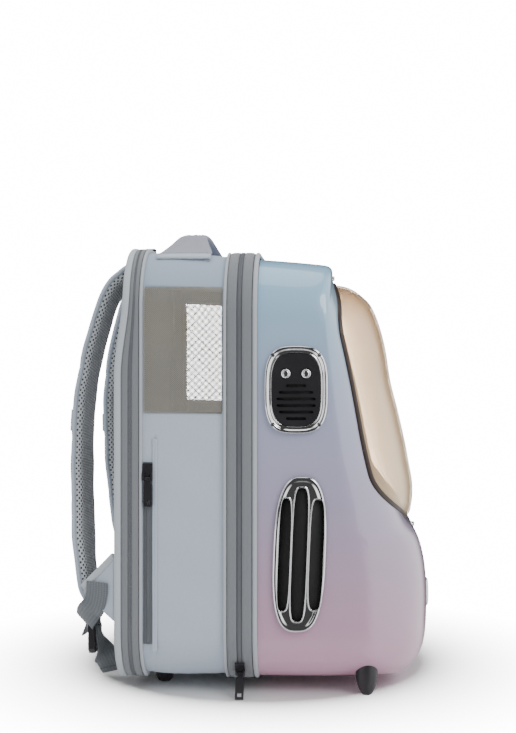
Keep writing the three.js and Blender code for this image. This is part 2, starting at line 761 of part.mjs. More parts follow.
// The carrying handle runs across the top. width is a share of the way from grip to base width.
const HANDLE_ROWS = table(["out", "lift", "width", "thickness"], [
  [-1, -0.3, 1, 2.2],
  [-0.91, -0.08, 1, 2.4],
  [-0.8, 0.07, 0.93, 2.6],
  [-0.6, 0.47, 0.5, 3.2],
  [-0.4, 0.87, 0.1, 5],
  [-0.2, 0.98, 0, 7],
  [0, 1, 0, 7.5],
  [0.2, 0.98, 0, 7],
  [0.4, 0.87, 0.1, 5],
  [0.6, 0.47, 0.5, 3.2],
  [0.8, 0.07, 0.93, 2.6],
  [0.91, -0.08, 1, 2.4],
  [1, -0.3, 1, 2.2],
]);

function addHandle() {
  const base = bodyTopAt(HANDLE_MIDDLE) + GAP;
  const rings = HANDLE_ROWS.map((row, index) => {
    const before = HANDLE_ROWS[Math.max(0, index - 1)];
    const after = HANDLE_ROWS[Math.min(HANDLE_ROWS.length - 1, index + 1)];
    const slope = new THREE.Vector2(
      (after.out - before.out) * HANDLE_HALF_SPAN,
      (after.lift - before.lift) * HANDLE_RISE,
    ).normalize();
    const halfWidth = THREE.MathUtils.lerp(HANDLE_GRIP_WIDTH, HANDLE_BASE_WIDTH, row.width) / 2;
    return [[-1, 0], [-1, 1], [1, 1], [1, 0]].map(([side, up]) => new THREE.Vector3(
      row.out * HANDLE_HALF_SPAN - slope.y * up * row.thickness,
      HANDLE_MIDDLE + side * halfWidth,
      base + row.lift * HANDLE_RISE + slope.x * up * row.thickness,
    ));
  });
  const roof = hoop([
    [BODY_FRONT - 1, GAP, -CLOTH_WALL],
    [BODY_FRONT, GAP, -CLOTH_WALL],
    [BODY_REAR, GAP, -CLOTH_WALL],
  ]);
  addPiece("carry_handle", loft(rings).subtract(roof), cloth);
}

// Fittings on the sides of the shell. They are drawn looking at the side, with the rear to the left.

// An outline in the YZ plane. power 2 is an ellipse, and higher powers have squarer corners.
function ovalOutline(middle, halfWidth, halfHeight, power, steps, lean = 0) {
  const points = [];
  for (let step = 0; step < steps; step += 1) {
    const angle = (step / steps) * 2 * Math.PI;
    const wave = (value) => Math.sign(value) * Math.abs(value) ** (2 / power);
    const y = halfWidth * wave(Math.cos(angle));
    const z = halfHeight * wave(Math.sin(angle));
    points.push(new THREE.Vector2(middle.x + y + lean * z, middle.y + z));
  }
  return points;
}

// Outlines stacked outwards from the left side. Each slice has a height above it and an outline.
function sideStack(slices, looped = false) {
  return loft(slices.map(({ height, outline }) => outline.map((point) => (
    new THREE.Vector3(-BODY_HALF_WIDTH - height, point.x, point.y)))), looped);
}

function sideCylinder(radius, low, high, y, z, sides) {
  const cylinder = new THREE.CylinderGeometry(radius, radius, high - low, sides);
  cylinder.rotateZ(Math.PI / 2);
  cylinder.translate(-BODY_HALF_WIDTH - (low + high) / 2, y, z);
  return toSolid(cylinder);
}

function sideBox(lowHeight, highHeight, y, z, width, height) {
  return toSolid(boxBetween(
    new THREE.Vector3(-BODY_HALF_WIDTH - highHeight, y - width / 2, z - height / 2),
    new THREE.Vector3(-BODY_HALF_WIDTH - lowHeight, y + width / 2, z + height / 2),
  ));
}

function addOnBothSides(piece, solid, material) {
  addPiece(`${piece}_left`, solid, material);
  addPiece(`${piece}_right`, solid.mirror([1, 0, 0]), material);
}

function addGrille() {
  const power = 3.2;
  const steps = 22;
  const outline = (inset) => ovalOutline(
    GRILLE_MIDDLE, GRILLE_HALF_WIDTH - inset, GRILLE_HALF_HEIGHT - inset, power, steps);
  const profile = table(["rise", "inset"], [
    [0, 0],
    [0.6, 0],
    [1, 0.24],
    [0.5, 0.68],
    [0.7, 0.94],
    [0, 1],
  ]);
  const slices = profile.map(({ rise, inset }) => ({
    height: GAP + rise * BEZEL_PROUD,
    outline: outline(inset * BEZEL_WIDTH),
  }));
  let bezel = sideStack(slices, true);
  const screwPlaces = [[-1, -1], [-1, 1], [1, -1], [1, 1]].map(([across, up]) => new THREE.Vector2(
    GRILLE_MIDDLE.x + across * SCREW_SPREAD * (GRILLE_HALF_WIDTH - BEZEL_WIDTH),
    GRILLE_MIDDLE.y + up * SCREW_SPREAD * (GRILLE_HALF_HEIGHT - BEZEL_WIDTH),
  ));
  const screwSeat = GAP + 0.3 * BEZEL_PROUD;
  const screwTop = GAP + BEZEL_PROUD;
  screwPlaces.forEach((place, index) => {
    bezel = bezel.subtract(sideCylinder(SCREW_RADIUS + GAP, screwSeat, 2 * screwTop, place.x, place.y, 6));
    const screw = sideCylinder(SCREW_RADIUS, screwSeat + GAP, screwTop, place.x, place.y, 6);
    addOnBothSides(`grille_screw_${index + 1}`, screw, chrome);
  });
  addOnBothSides("grille_bezel", bezel, chrome);

  const plateEdge = outline(BEZEL_WIDTH + GAP);
  let plate = sideStack([0, PLATE_THICKNESS].map((height) => ({ height: GAP + height, outline: plateEdge })));
  const slotRows = table(["place", "halfWidth"], [
    [0.6, 0.316],
    [-0.4, 0.545],
    [-1.4, 0.623],
    [-2.4, 0.623],
    [-3.4, 0.545],
    [-4.4, 0.313],
  ]);
  slotRows.forEach(({ place, halfWidth }) => {
    const z = GRILLE_MIDDLE.y + place * SLOT_PITCH;
    const width = 2 * halfWidth * GRILLE_HALF_WIDTH;
    plate = plate.subtract(sideBox(0, 2 * PLATE_THICKNESS, GRILLE_MIDDLE.x, z, width, SLOT_HEIGHT));
  });
  const buttonHeight = GRILLE_MIDDLE.y + BUTTON_LIFT;
  const plateTop = GAP + PLATE_THICKNESS;
  let leftPlate = plate;
  Object.entries({ rear: 1, front: -1 }).forEach(([place, side]) => {
    const y = GRILLE_MIDDLE.x + side * BUTTON_SPACING / 2;
    const well = sideCylinder(BUTTON_RADIUS + GAP, 0, 2 * plateTop, y, buttonHeight, 12);
    leftPlate = leftPlate.subtract(well);
    const stem = [
      [0, 0],
      [BUTTON_RADIUS, 0],
      [BUTTON_RADIUS, 0.5],
      [BUTTON_RADIUS * 0.8, 0.82],
      [0, 1],
    ].map(([radius, share]) => new THREE.Vector2(radius, share * (plateTop + 0.3)));
    const cap = new THREE.LatheGeometry(stem, 12);
    cap.rotateZ(Math.PI / 2);
    cap.translate(-BODY_HALF_WIDTH - GAP - BUTTON_TRAVEL, y, buttonHeight);
    addPiece(`push_button_${place}`, toSolid(cap), chrome);
  });
  addPiece("grille_plate_left", leftPlate, blackPlastic);
  addPiece("grille_plate_right", plate.mirror([1, 0, 0]), blackPlastic);
}

function addVent() {
  const power = 2.9;
  const steps = 24;
  const outline = (inset) => ovalOutline(
    VENT_MIDDLE, VENT_HALF_WIDTH - inset, VENT_HALF_HEIGHT - inset, power, steps, -VENT_LEAN);
  const seat = GAP + VENT_BACK_THICKNESS + GAP;
  const backEdge = outline(VENT_RIM / 2);
  addOnBothSides("vent_backing", sideStack([GAP, GAP + VENT_BACK_THICKNESS].map((height) => (
    { height, outline: backEdge }))), blackPlastic);
  const profile = table(["rise", "inset"], [
    [0, 0],
    [0.5, 0],
    [1, 0.35],
    [1, 0.7],
  ]);
  let frame = sideStack(profile.map(({ rise, inset }) => ({
    height: seat + rise * VENT_THICKNESS,
    outline: outline(inset * VENT_RIM),
  })));
  const slots = table(["place", "halfWidth", "halfHeight"], [
    [0.575, 0.2175, 0.72],
    [0, 0.2765, 0.857],
    [-0.64, 0.25, 0.705],
  ]);
  slots.forEach(({ place, halfWidth, halfHeight }) => {
    const middle = new THREE.Vector2(VENT_MIDDLE.x + place * VENT_HALF_WIDTH, VENT_MIDDLE.y);
    const edge = ovalOutline(
      middle, halfWidth * VENT_HALF_WIDTH, halfHeight * VENT_HALF_HEIGHT, 5, 12, -VENT_LEAN);
    frame = frame.subtract(sideStack([0, 3 * VENT_THICKNESS].map((rise) => ({ height: rise, outline: edge }))));
  });
  addOnBothSides("vent_frame", frame, chrome);
}

// A turned piece that stands out of the shell's front, seated on it
function frontStud(rows, height, seatDepth) {
  const profile = rows.map(([radius, out]) => new THREE.Vector2(radius, out));
  const stud = new THREE.LatheGeometry(profile, 16);
  stud.rotateX(Math.PI);
  stud.translate(0, seatDepth, height);
  return toSolid(stud).subtract(shellBody(-GAP, GAP));
}

function addFrontFittings() {
  const front = SHELL_BACK - SHELL_DEPTH;
  const badge = [
    [0, -STUD_ROOT],
    [BADGE_RADIUS, -STUD_ROOT],
    [BADGE_RADIUS, BADGE_PROUD * 0.6],
    [BADGE_RADIUS * 0.86, BADGE_PROUD],
    [BADGE_RADIUS * 0.66, BADGE_PROUD],
    [BADGE_RADIUS * 0.5, BADGE_PROUD * 0.35],
    [0, BADGE_PROUD * 0.35],
  ];
  addPiece("front_badge", frontStud(badge, BADGE_HEIGHT, front), chrome);

  const screwAt = (name, reach, level) => {
    const seat = shellPoint(reach, level);
    const head = [
      [0, -STUD_ROOT / 2],
      [SHELL_SCREW_RADIUS, -STUD_ROOT / 2],
      [SHELL_SCREW_RADIUS, 0.65 * SHELL_SCREW_PROUD],
      [0.7 * SHELL_SCREW_RADIUS, SHELL_SCREW_PROUD],
      [0, SHELL_SCREW_PROUD],
    ];
    addPiece(name, frontStud(head, seat.y, seat.x), chrome);
  };
  screwAt("visor_screw", 0.426, 0.973);
  screwAt("nose_screw", 0.942, 0.328);
}

function addFeet() {
  const peg = [
    [0, 0],
    [0.36, 0],
    [0.55, 0.12],
    [0.85, 0.55],
    [1, 1],
    [1, 2.2],
    [0, 2.2],
  ];
  const front = new THREE.LatheGeometry(peg.map(([radius, height]) => (
    new THREE.Vector2(radius * FRONT_FOOT_RADIUS, height * 1.6 * FRONT_FOOT_RADIUS))), 12);
  front.translate(FRONT_FOOT_IN - BODY_HALF_WIDTH, 0, FRONT_FOOT_REACH - SHELL_BACK);
  front.rotateX(Math.PI / 2);
  addOnBothSides("front_foot", toSolid(front).subtract(shellBody(-GAP, GAP)), blackPlastic);

  const height = BODY_BOTTOM - GAP;
  const sole = [
    [0, 0],
    [0.55, 0],
    [0.85, 0.35],
    [1, 1],
    [0, 1],
  ];
  const rear = new THREE.LatheGeometry(sole.map(([radius, share]) => (
    new THREE.Vector2(radius * REAR_FOOT_RADIUS, share * height))), 12);
  rear.translate(REAR_FOOT_IN - BODY_HALF_WIDTH, 0, REAR_FOOT_FORWARDS - BODY_REAR);
  rear.rotateX(Math.PI / 2);
  addOnBothSides("rear_foot", toSolid(rear), blackPlastic);
}

// Zip fittings. A slider lies on its tape in the XZ plane of its own group: +X points away from the
// tape and -Z towards the pull's free end. The pin and the pull's barrel lie along Y.

function sliderSolid() {
  const block = boxBetween(
    new THREE.Vector3(0, -SLIDER_WIDTH / 2, 0),
    new THREE.Vector3(SLIDER_HEIGHT, SLIDER_WIDTH / 2, SLIDER_LENGTH),
  );
  const lugTop = SLIDER_HEIGHT + BARREL_RADIUS;
  let slider = toSolid(block);
  [-1, 1].forEach((side) => {
    const outer = side * SLIDER_WIDTH / 2;
    const inner = side * (SLIDER_WIDTH / 2 - SLIDER_LUG);
    slider = slider.add(toSolid(boxBetween(
      new THREE.Vector3(0, Math.min(outer, inner), -2 * BARREL_RADIUS),
      new THREE.Vector3(lugTop, Math.max(outer, inner), SLIDER_LENGTH / 3),
    )));
  });
  return slider.add(barrel(PIN_RADIUS, SLIDER_WIDTH - 0.4));
}

// A round bar along the pin's axis
function barrel(radius, length) {
  const bar = new THREE.CylinderGeometry(radius, radius, length, 10);
  bar.translate(SLIDER_HEIGHT, 0, -BARREL_RADIUS - GAP);
  return toSolid(bar);
}

function pullSolid() {
  const innerWidth = SLIDER_WIDTH - 2 * (SLIDER_LUG + GAP);
  const axis = new THREE.Vector3(SLIDER_HEIGHT, 0, -BARREL_RADIUS - GAP);
  const neck = toSolid(boxBetween(
    new THREE.Vector3(axis.x - PULL_THICKNESS / 2, -innerWidth / 2, axis.z - 2 * BARREL_RADIUS - 1),
    new THREE.Vector3(axis.x + PULL_THICKNESS / 2, innerWidth / 2, axis.z - PIN_RADIUS),
  ));
  const blade = toSolid(boxBetween(
    new THREE.Vector3(axis.x - PULL_THICKNESS / 2, -PULL_WIDTH / 2, axis.z - PULL_LENGTH),
    new THREE.Vector3(axis.x + PULL_THICKNESS / 2, PULL_WIDTH / 2, axis.z - 2 * BARREL_RADIUS - 1),
  ));
  const hole = toSolid(boxBetween(
    new THREE.Vector3(-PULL_THICKNESS, -PULL_WIDTH / 4, axis.z - PULL_LENGTH + 2),
    new THREE.Vector3(3 * PULL_THICKNESS + axis.x, PULL_WIDTH / 4, axis.z - PULL_LENGTH + 6),
  ));
  return barrel(BARREL_RADIUS, innerWidth).add(neck).add(blade).subtract(hole)
    .subtract(barrel(PIN_RADIUS + GAP, SLIDER_WIDTH));
}

// The fittings start with their backs to the left side, and tilt turns them about Y.
function turned(tilt, place) {
  const matrix = new THREE.Matrix4().makeRotationY(tilt);
  matrix.multiply(new THREE.Matrix4().makeRotationZ(Math.PI));
  return matrix.setPosition(place);
}

function addSlider(name, seat, tilt, pullTilt) {
  const placed = turned(tilt, seat);
  const axis = new THREE.Vector3(SLIDER_HEIGHT, 0, -BARREL_RADIUS - GAP);
  const axisPlace = axis.clone().applyMatrix4(placed);
  addPiece(`${name}_slider`, sliderSolid().transform(placed.elements), blackPlastic);
  const hanging = turned(pullTilt(axisPlace), axisPlace);
  hanging.multiply(new THREE.Matrix4().makeTranslation(-axis.x, -axis.y, -axis.z));
  addPiece(`${name}_pull`, pullSolid().transform(hanging.elements), blackPlastic);
}

function addZipFittings() {
  const tapeMiddle = BODY_REAR - GAP - POCKET_TAPE_WIDTH / 2;
  const tapeHigh = GAP + TAPE_THICKNESS;
  const tapeHeight = POCKET_TAPE_TOP - POCKET_TAPE_BOTTOM;
  const tapeCentre = (POCKET_TAPE_TOP + POCKET_TAPE_BOTTOM) / 2;
  addPiece("pocket_zip_tape", sideBox(
    GAP, tapeHigh, tapeMiddle, tapeCentre, POCKET_TAPE_WIDTH, tapeHeight,
  ), zipTape);
  const pocketSeat = new THREE.Vector3(
    -BODY_HALF_WIDTH - tapeHigh - GAP,
    tapeMiddle,
    POCKET_TAPE_TOP - SLIDER_LENGTH - 1,
  );
  addSlider("pocket_zip", pocketSeat, 0, () => 0);

  // On the round lower corner of the front band, where the pull leans out to clear the ground
  const cornerReach = (BOTTOM_CORNER + BAND_PROUD + GAP) * Math.SQRT1_2;
  const bandMiddle = (FRONT_BAND_FRONT + FRONT_BAND_REAR) / 2;
  const bandSeat = new THREE.Vector3(
    BOTTOM_CORNER - BODY_HALF_WIDTH - cornerReach,
    bandMiddle,
    BODY_BOTTOM + BOTTOM_CORNER - cornerReach,
  );
  addSlider("band_zip", bandSeat, -Math.PI / 4, (axis) => {
    const drop = axis.z - PULL_THICKNESS / 2 - GAP;
    return Math.acos(Math.min(1, drop / PULL_LENGTH));
  });

  const rearY = (REAR_BAND_FRONT + REAR_BAND_REAR) / 2 - REAR_LEAN / 2;
  const roof = bodyTopAt(rearY) + BAND_PROUD + GAP;
  addPiece("rear_zip_slider", toSolid(boxBetween(
    new THREE.Vector3(-REAR_SLIDER_OUT - SLIDER_LENGTH / 2, rearY - SLIDER_WIDTH / 2, roof),
    new THREE.Vector3(-REAR_SLIDER_OUT + SLIDER_LENGTH / 2, rearY + SLIDER_WIDTH / 2, roof + 2 * SLIDER_HEIGHT),
  )), blackPlastic);
}

// The finished carrier stands on the ground, centred on the origin.
function standOnOrigin() {
  const bounds = new THREE.Box3().setFromObject(carrier, true);
  const middle = bounds.getCenter(new THREE.Vector3());
  carrier.position.set(-middle.x, -middle.y, -bounds.min.z);
  carrier.updateMatrixWorld(true);
}

addHoops();
addShell();
addBody();
addBack();
Object.keys(SIDES).forEach(addStrap);
addHandle();
addGrille();
addVent();
addFrontFittings();
addFeet();
addZipFittings();
standOnOrigin();

export default carrier;
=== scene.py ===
"""A pet carrier backpack with a glossy front shell and a bubble window, standing on a pale floor.

Every size is in millimetres until a mesh is made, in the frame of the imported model.
"""
import json
import math

import bpy
import bmesh
import numpy as np
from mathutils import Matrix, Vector


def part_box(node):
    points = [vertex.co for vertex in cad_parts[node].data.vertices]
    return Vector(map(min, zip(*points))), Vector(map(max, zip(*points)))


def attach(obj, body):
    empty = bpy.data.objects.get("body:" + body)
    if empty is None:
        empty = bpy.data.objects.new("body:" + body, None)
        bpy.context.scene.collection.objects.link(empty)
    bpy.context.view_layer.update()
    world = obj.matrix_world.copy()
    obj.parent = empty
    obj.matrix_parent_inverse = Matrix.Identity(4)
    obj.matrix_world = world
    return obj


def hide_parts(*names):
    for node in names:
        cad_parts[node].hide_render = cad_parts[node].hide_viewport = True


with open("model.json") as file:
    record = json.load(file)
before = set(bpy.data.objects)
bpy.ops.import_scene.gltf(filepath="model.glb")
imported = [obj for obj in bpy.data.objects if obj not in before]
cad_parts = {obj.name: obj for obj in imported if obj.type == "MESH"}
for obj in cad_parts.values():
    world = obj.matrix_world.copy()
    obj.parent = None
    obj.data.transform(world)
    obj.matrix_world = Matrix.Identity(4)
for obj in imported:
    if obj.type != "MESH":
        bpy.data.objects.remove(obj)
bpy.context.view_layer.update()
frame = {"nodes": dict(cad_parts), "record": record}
NODES = frame["nodes"]
MM = 0.001
SIDES = {"left": -1, "right": 1}
TAU = 2 * math.pi

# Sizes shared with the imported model
GAP = 0.3
HALF_WIDTH = 165
BODY_BOTTOM, BODY_TOP, BODY_TOP_RISE = 14, 418, 4
TOP_CORNER, BOTTOM_CORNER = 58, 48
CLOTH_WALL = 2.5
BAND_PROUD = 4
FRONT_BAND = (-4.7, 18.6)
BODY = (22.4, 97.7)
REAR_BAND = (101.5, 118)
BINDING = (118.3, 125)
REAR_LEAN, LEAN_START, LEAN_END = 8, 300, 380
SHELL_BACK, SHELL_DEPTH, SHELL_BOTTOM, SHELL_HEIGHT = -10.1, 163, 12, 403
SHELL_WALL = 3
DOME_MARGIN, DOME_BULGE, DOME_WALL, DOME_FLAT = 19, 37, 2.5, 12
WINDOW_BOTTOM, WINDOW_TOP, WINDOW_HEM = 267, 382, 1.2

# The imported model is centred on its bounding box; the rear feet give the shift from the drawing's own origin.
foot_low, foot_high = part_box("rear_foot_right")
SHIFT = np.array([
    (foot_low.x + foot_high.x) / 2 / MM - 100,
    (foot_low.y + foot_high.y) / 2 / MM - 86,
    0,
])


# Mesh helpers

def new_object(name, verts, faces, uvs=None):
    """A mesh object from millimetre points, smooth shaded. uvs gives one (u, v) in metres per face corner."""
    mesh = bpy.data.meshes.new(name)
    points = (np.asarray(verts, float) + SHIFT) * MM
    mesh.from_pydata([tuple(p) for p in points], [], [tuple(f) for f in faces])
    if uvs is not None:
        layer = mesh.uv_layers.new(name="UVMap")
        layer.data.foreach_set("uv", np.asarray(uvs, np.float32).ravel())
    mesh.validate()
    mesh.shade_smooth()
    piece = bpy.data.objects.new(name, mesh)
    bpy.context.scene.collection.objects.link(piece)
    return piece


def ring_faces(rows, columns):
    """Quads between rows of points, where each row closes on itself."""
    faces = []
    for r in range(rows - 1):
        for c in range(columns):
            c2 = (c + 1) % columns
            faces.append((r * columns + c, r * columns + c2, (r + 1) * columns + c2, (r + 1) * columns + c))
    return faces


def outward(piece):
    """Turns every face of a closed piece outwards."""
    mesh = bmesh.new()
    mesh.from_mesh(piece.data)
    bmesh.ops.recalc_face_normals(mesh, faces=mesh.faces)
    mesh.to_mesh(piece.data)
    mesh.free()
    return piece


def running(points, wrap):
    """Distance along rows of points, averaged over the other direction, in metres."""
    steps = np.linalg.norm(np.diff(points, axis=0), axis=2).mean(axis=1)
    total = [0, *np.cumsum(steps)]
    if wrap:
        total.append(total[-1] + np.linalg.norm(points[0] - points[-1], axis=1).mean())
    return np.array(total) * MM


def sheet_grid(name, points, wrap_rows=False, wrap_columns=False, flip=False, caps=False, skip=None):
    """A grid of quads with UVs in metres: u runs along the columns and v along the rows."""
    points = np.asarray(points, float)
    rows, columns = points.shape[:2]
    v = running(points, wrap_rows)
    u = running(points.transpose(1, 0, 2), wrap_columns)
    faces, uvs = [], []
    for r in range(rows if wrap_rows else rows - 1):
        for c in range(columns if wrap_columns else columns - 1):
            if skip is not None and skip(r, c):
                continue
            r2, c2 = (r + 1) % rows, (c + 1) % columns
            face = [r * columns + c, r * columns + c2, r2 * columns + c2, r2 * columns + c]
            corner = [(u[c], v[r]), (u[c + 1], v[r]), (u[c + 1], v[r + 1]), (u[c], v[r + 1])]
            if flip:
                face.reverse()
                corner.reverse()
            faces.append(face)
            uvs.extend(corner)
    verts = points.reshape(-1, 3)
    if caps:
        first = list(range(columns))
        last = [(rows - 1) * columns + c for c in range(columns)]
        for ring, reverse in ((first, not flip), (last, flip)):
            if reverse:
                ring = ring[::-1]
            faces.append(ring)
            uvs.extend([(0, 0)] * columns)
    return new_object(name, verts, faces, uvs)


def sharpen(piece, degrees=35):
    piece.data.set_sharp_from_angle(angle=math.radians(degrees))
    return piece


def bake(piece):
    """Applies the piece's modifiers."""
    bpy.context.view_layer.update()
    graph = bpy.context.evaluated_depsgraph_get()
    mesh = bpy.data.meshes.new_from_object(piece.evaluated_get(graph), depsgraph=graph)
    old = piece.data
    piece.modifiers.clear()
    piece.data = mesh
    bpy.data.meshes.remove(old)
    return piece


def boolean(piece, cutter):
    """Cuts the cutter out of the piece. The cut faces take the cutter's material."""
    modifier = piece.modifiers.new("cut", "BOOLEAN")
    modifier.object = cutter
    modifier.operation = "DIFFERENCE"
    modifier.solver = "MANIFOLD"
    modifier.material_mode = "TRANSFER"
    return bake(piece)


def remove(*pieces):
    for piece in pieces:
        bpy.data.objects.remove(piece, do_unlink=True)


def solidify(piece, thickness):
    modifier = piece.modifiers.new("wall", "SOLIDIFY")
    modifier.thickness = thickness * MM
    modifier.offset = -1
    modifier.use_even_offset = False
    return piece


def finish(piece, paint=None, body="carrier", replaced=()):
    """Gives a piece its finish, the body it rides on and the model's nodes that it stands for.

    Without a paint the piece keeps the materials that it has.
    """
    if paint is not None:
        piece.data.materials.clear()
        piece.data.materials.append(paint)
    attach(piece, body)
    if replaced:
        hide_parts(*replaced)
    return piece


def join(name, pieces):
    """Joins mesh objects into one, keeping their materials."""
    bpy.ops.object.select_all(action="DESELECT")
    for piece in pieces:
        piece.select_set(True)
    bpy.context.view_layer.objects.active = pieces[0]
    bpy.ops.object.join()
    joined = bpy.context.view_layer.objects.active
    joined.name = name
    joined.data.name = name
    return joined


def catmull(rows, per_span):
    """A smooth curve through rows of numbers, with per_span points from each row to the next."""
    rows = np.asarray(rows, float)
    padded = np.vstack([2 * rows[0] - rows[1], rows, 2 * rows[-1] - rows[-2]])
    out = []
    for i in range(len(rows) - 1):
        p0, p1, p2, p3 = padded[i:i + 4]
        for s in range(per_span):
            t = s / per_span
            out.append(0.5 * (
                2 * p1 + (p2 - p0) * t + (2 * p0 - 5 * p1 + 4 * p2 - p3) * t ** 2
                + (3 * p1 - p0 - 3 * p2 + p3) * t ** 3))
    out.append(rows[-1])
    return np.array(out)


def even(points, count, closed=False):
    """The same line with count points at equal distances."""
    points = np.asarray(points, float)
    if closed:
        points = np.vstack([points, points[:1]])
    steps = np.linalg.norm(np.diff(points, axis=0), axis=1)
    total = np.concatenate([[0], np.cumsum(steps)])
    at = np.linspace(0, total[-1], count + 1)[:-1] if closed else np.linspace(0, total[-1], count)
    return np.stack([np.interp(at, total, points[:, k]) for k in range(points.shape[1])], axis=1)


def smoothstep(x, low, high):
    t = np.clip((np.asarray(x, float) - low) / (high - low), 0, 1)
    return t * t * (3 - 2 * t)


# Body outline: a rounded rectangle in XZ that every hoop follows

def body_outline(count):
    """Evenly spaced points of the outline, their outward directions and their shares of the top's rise."""
    points = []
    corners = [
        (HALF_WIDTH - TOP_CORNER, BODY_TOP - TOP_CORNER, TOP_CORNER, 0),
        (TOP_CORNER - HALF_WIDTH, BODY_TOP - TOP_CORNER, TOP_CORNER, 1),
        (BOTTOM_CORNER - HALF_WIDTH, BODY_BOTTOM + BOTTOM_CORNER, BOTTOM_CORNER, 2),
        (HALF_WIDTH - BOTTOM_CORNER, BODY_BOTTOM + BOTTOM_CORNER, BOTTOM_CORNER, 3),
    ]
    for x, z, radius, turn in corners:
        for step in range(33):
            angle = (turn + step / 32) * math.pi / 2
            points.append((x + radius * math.cos(angle), z + radius * math.sin(angle),
                           math.cos(angle), math.sin(angle)))
    points = even(points, count, closed=True)
    direction = points[:, 2:] / np.linalg.norm(points[:, 2:], axis=1, keepdims=True)
    low, high = BODY_BOTTOM + BOTTOM_CORNER, BODY_TOP - TOP_CORNER
    rise = np.clip((points[:, 1] - low) / (high - low), 0, 1)
    return points[:, :2], direction, rise


OUTLINE_COUNT = 360
BODY_OUTLINE = body_outline(OUTLINE_COUNT)
OUTLINE = BODY_OUTLINE[0]


def depth_share(y):
    """How far back a depth lies in the cloth body, from 0 to 1."""
    return min(max((y - BODY[0]) / (BODY[1] - BODY[0]), 0), 1)


def rear_lean(z):
    """How far the back leans forwards at a height."""
    return -REAR_LEAN * smoothstep(z, LEAN_START, LEAN_END)


def body_ring(y, grow, lean=0.0, outline=BODY_OUTLINE):
    """One ring of the body at depth y. grow may be one number or one for each point."""
    points, direction, rise = outline
    x = points[:, 0] + direction[:, 0] * grow
    z = points[:, 1] + direction[:, 1] * grow + rise * BODY_TOP_RISE * depth_share(y)
    return np.stack([x, y + lean * rear_lean(z), z], axis=1)


def body_hoop(name, rows):
    """A hoop with a closed section. rows: y, outward growth, share of the rear lean."""
    return sheet_grid(name, [body_ring(*row) for row in rows], wrap_rows=True, wrap_columns=True)


# Shell and bubble: a closed profile that swells from a flat side outline to the middle one

SHELL_ROWS = [  # reach, level, sideReach, sideLevel, corner
    [0, 1, 0, 1, 1],
    [0.183, 0.994, 0.153, 0.997, 1],
    [0.355, 0.987, 0.306, 0.983, 1],
    [0.404, 0.983, 0.355, 0.966, 1.02],
    [0.426, 0.973, 0.38, 0.946, 1.05],
    [0.432, 0.945, 0.392, 0.926, 1.08],
    [0.478, 0.876, 0.401, 0.869, 1.12],
    [0.527, 0.804, 0.41, 0.808, 1.15],
    [0.576, 0.722, 0.42, 0.734, 1.18],
    [0.668, 0.568, 0.441, 0.589, 1.28],
    [0.742, 0.474, 0.46, 0.481, 1.38],
    [0.809, 0.412, 0.475, 0.404, 1.5],
    [0.864, 0.37, 0.49, 0.354, 1.62],
    [0.942, 0.328, 0.509, 0.303, 1.75],
    [0.984, 0.27, 0.527, 0.242, 1.88],
    [1, 0.206, 0.539, 0.185, 1.92],
    [1, 0.144, 0.542, 0.128, 1.9],
    [0.987, 0.082, 0.536, 0.081, 1.82],
    [0.944, 0.035, 0.521, 0.044, 1.7],
    [0.858, 0.006, 0.49, 0.017, 1.5],
    [0.736, 0, 0.429, 0.003, 1.3],
    [0.367, 0, 0.214, 0, 1.05],
    [0, 0, 0, 0, 1],
]
DOME_ROWS = [  # reach, bulge, level, sideReach, sideLevel
    [0.3, 0, 0.953, 0.22, 0.819],
    [0.429, 0.054, 0.952, 0.38, 0.816],
    [0.441, 0.432, 0.943, 0.429, 0.811],
    [0.453, 0.73, 0.921, 0.46, 0.801],
    [0.469, 0.905, 0.896, 0.472, 0.789],
    [0.496, 1, 0.851, 0.478, 0.764],
    [0.539, 1, 0.784, 0.487, 0.73],
    [0.588, 0.919, 0.705, 0.502, 0.69],
    [0.634, 0.932, 0.625, 0.539, 0.625],
    [0.68, 0.919, 0.548, 0.588, 0.566],
    [0.723, 0.838, 0.494, 0.619, 0.531],
    [0.772, 0.716, 0.442, 0.637, 0.506],
    [0.84, 0.392, 0.39, 0.631, 0.494],
    [0.883, 0.027, 0.357, 0.601, 0.489],
    [0.7, 0, 0.347, 0.4, 0.486],
]


def inset_line(points, inset):
    """A profile in YZ moved inwards. It runs forwards over the top and back underneath."""
    along = np.gradient(points, axis=0)
    along /= np.linalg.norm(along, axis=1, keepdims=True)
    return points + inset * np.stack([-along[:, 1], along[:, 0]], axis=1)


def swollen(middle, side, flats, half_width, arc_steps, cap_steps):
    """Points over the whole body from the left flat side, across the middle, to the right one."""
    rings = []
    centre = side.mean(axis=0)
    for step in range(1, cap_steps):
        t = step / cap_steps
        rings.append(np.column_stack([np.full(len(side), half_width), centre + (side - centre) * t]))
    for step in range(arc_steps + 1):
        angle = step / arc_steps * math.pi / 2
        swell = math.sin(angle)
        x = flats + (half_width - flats) * math.cos(angle)
        rings.append(np.column_stack([x, side + (middle - side) * swell]))
    left = [ring * (-1, 1, 1) for ring in rings]
    return np.array(left + [ring for ring in reversed(rings)])


def shell_point(reach, level):
    return np.column_stack([SHELL_BACK - reach * SHELL_DEPTH, SHELL_BOTTOM + level * SHELL_HEIGHT])


def close_back(points, y):
    points[0, 0] = y
    points[-1, 0] = y
    return points


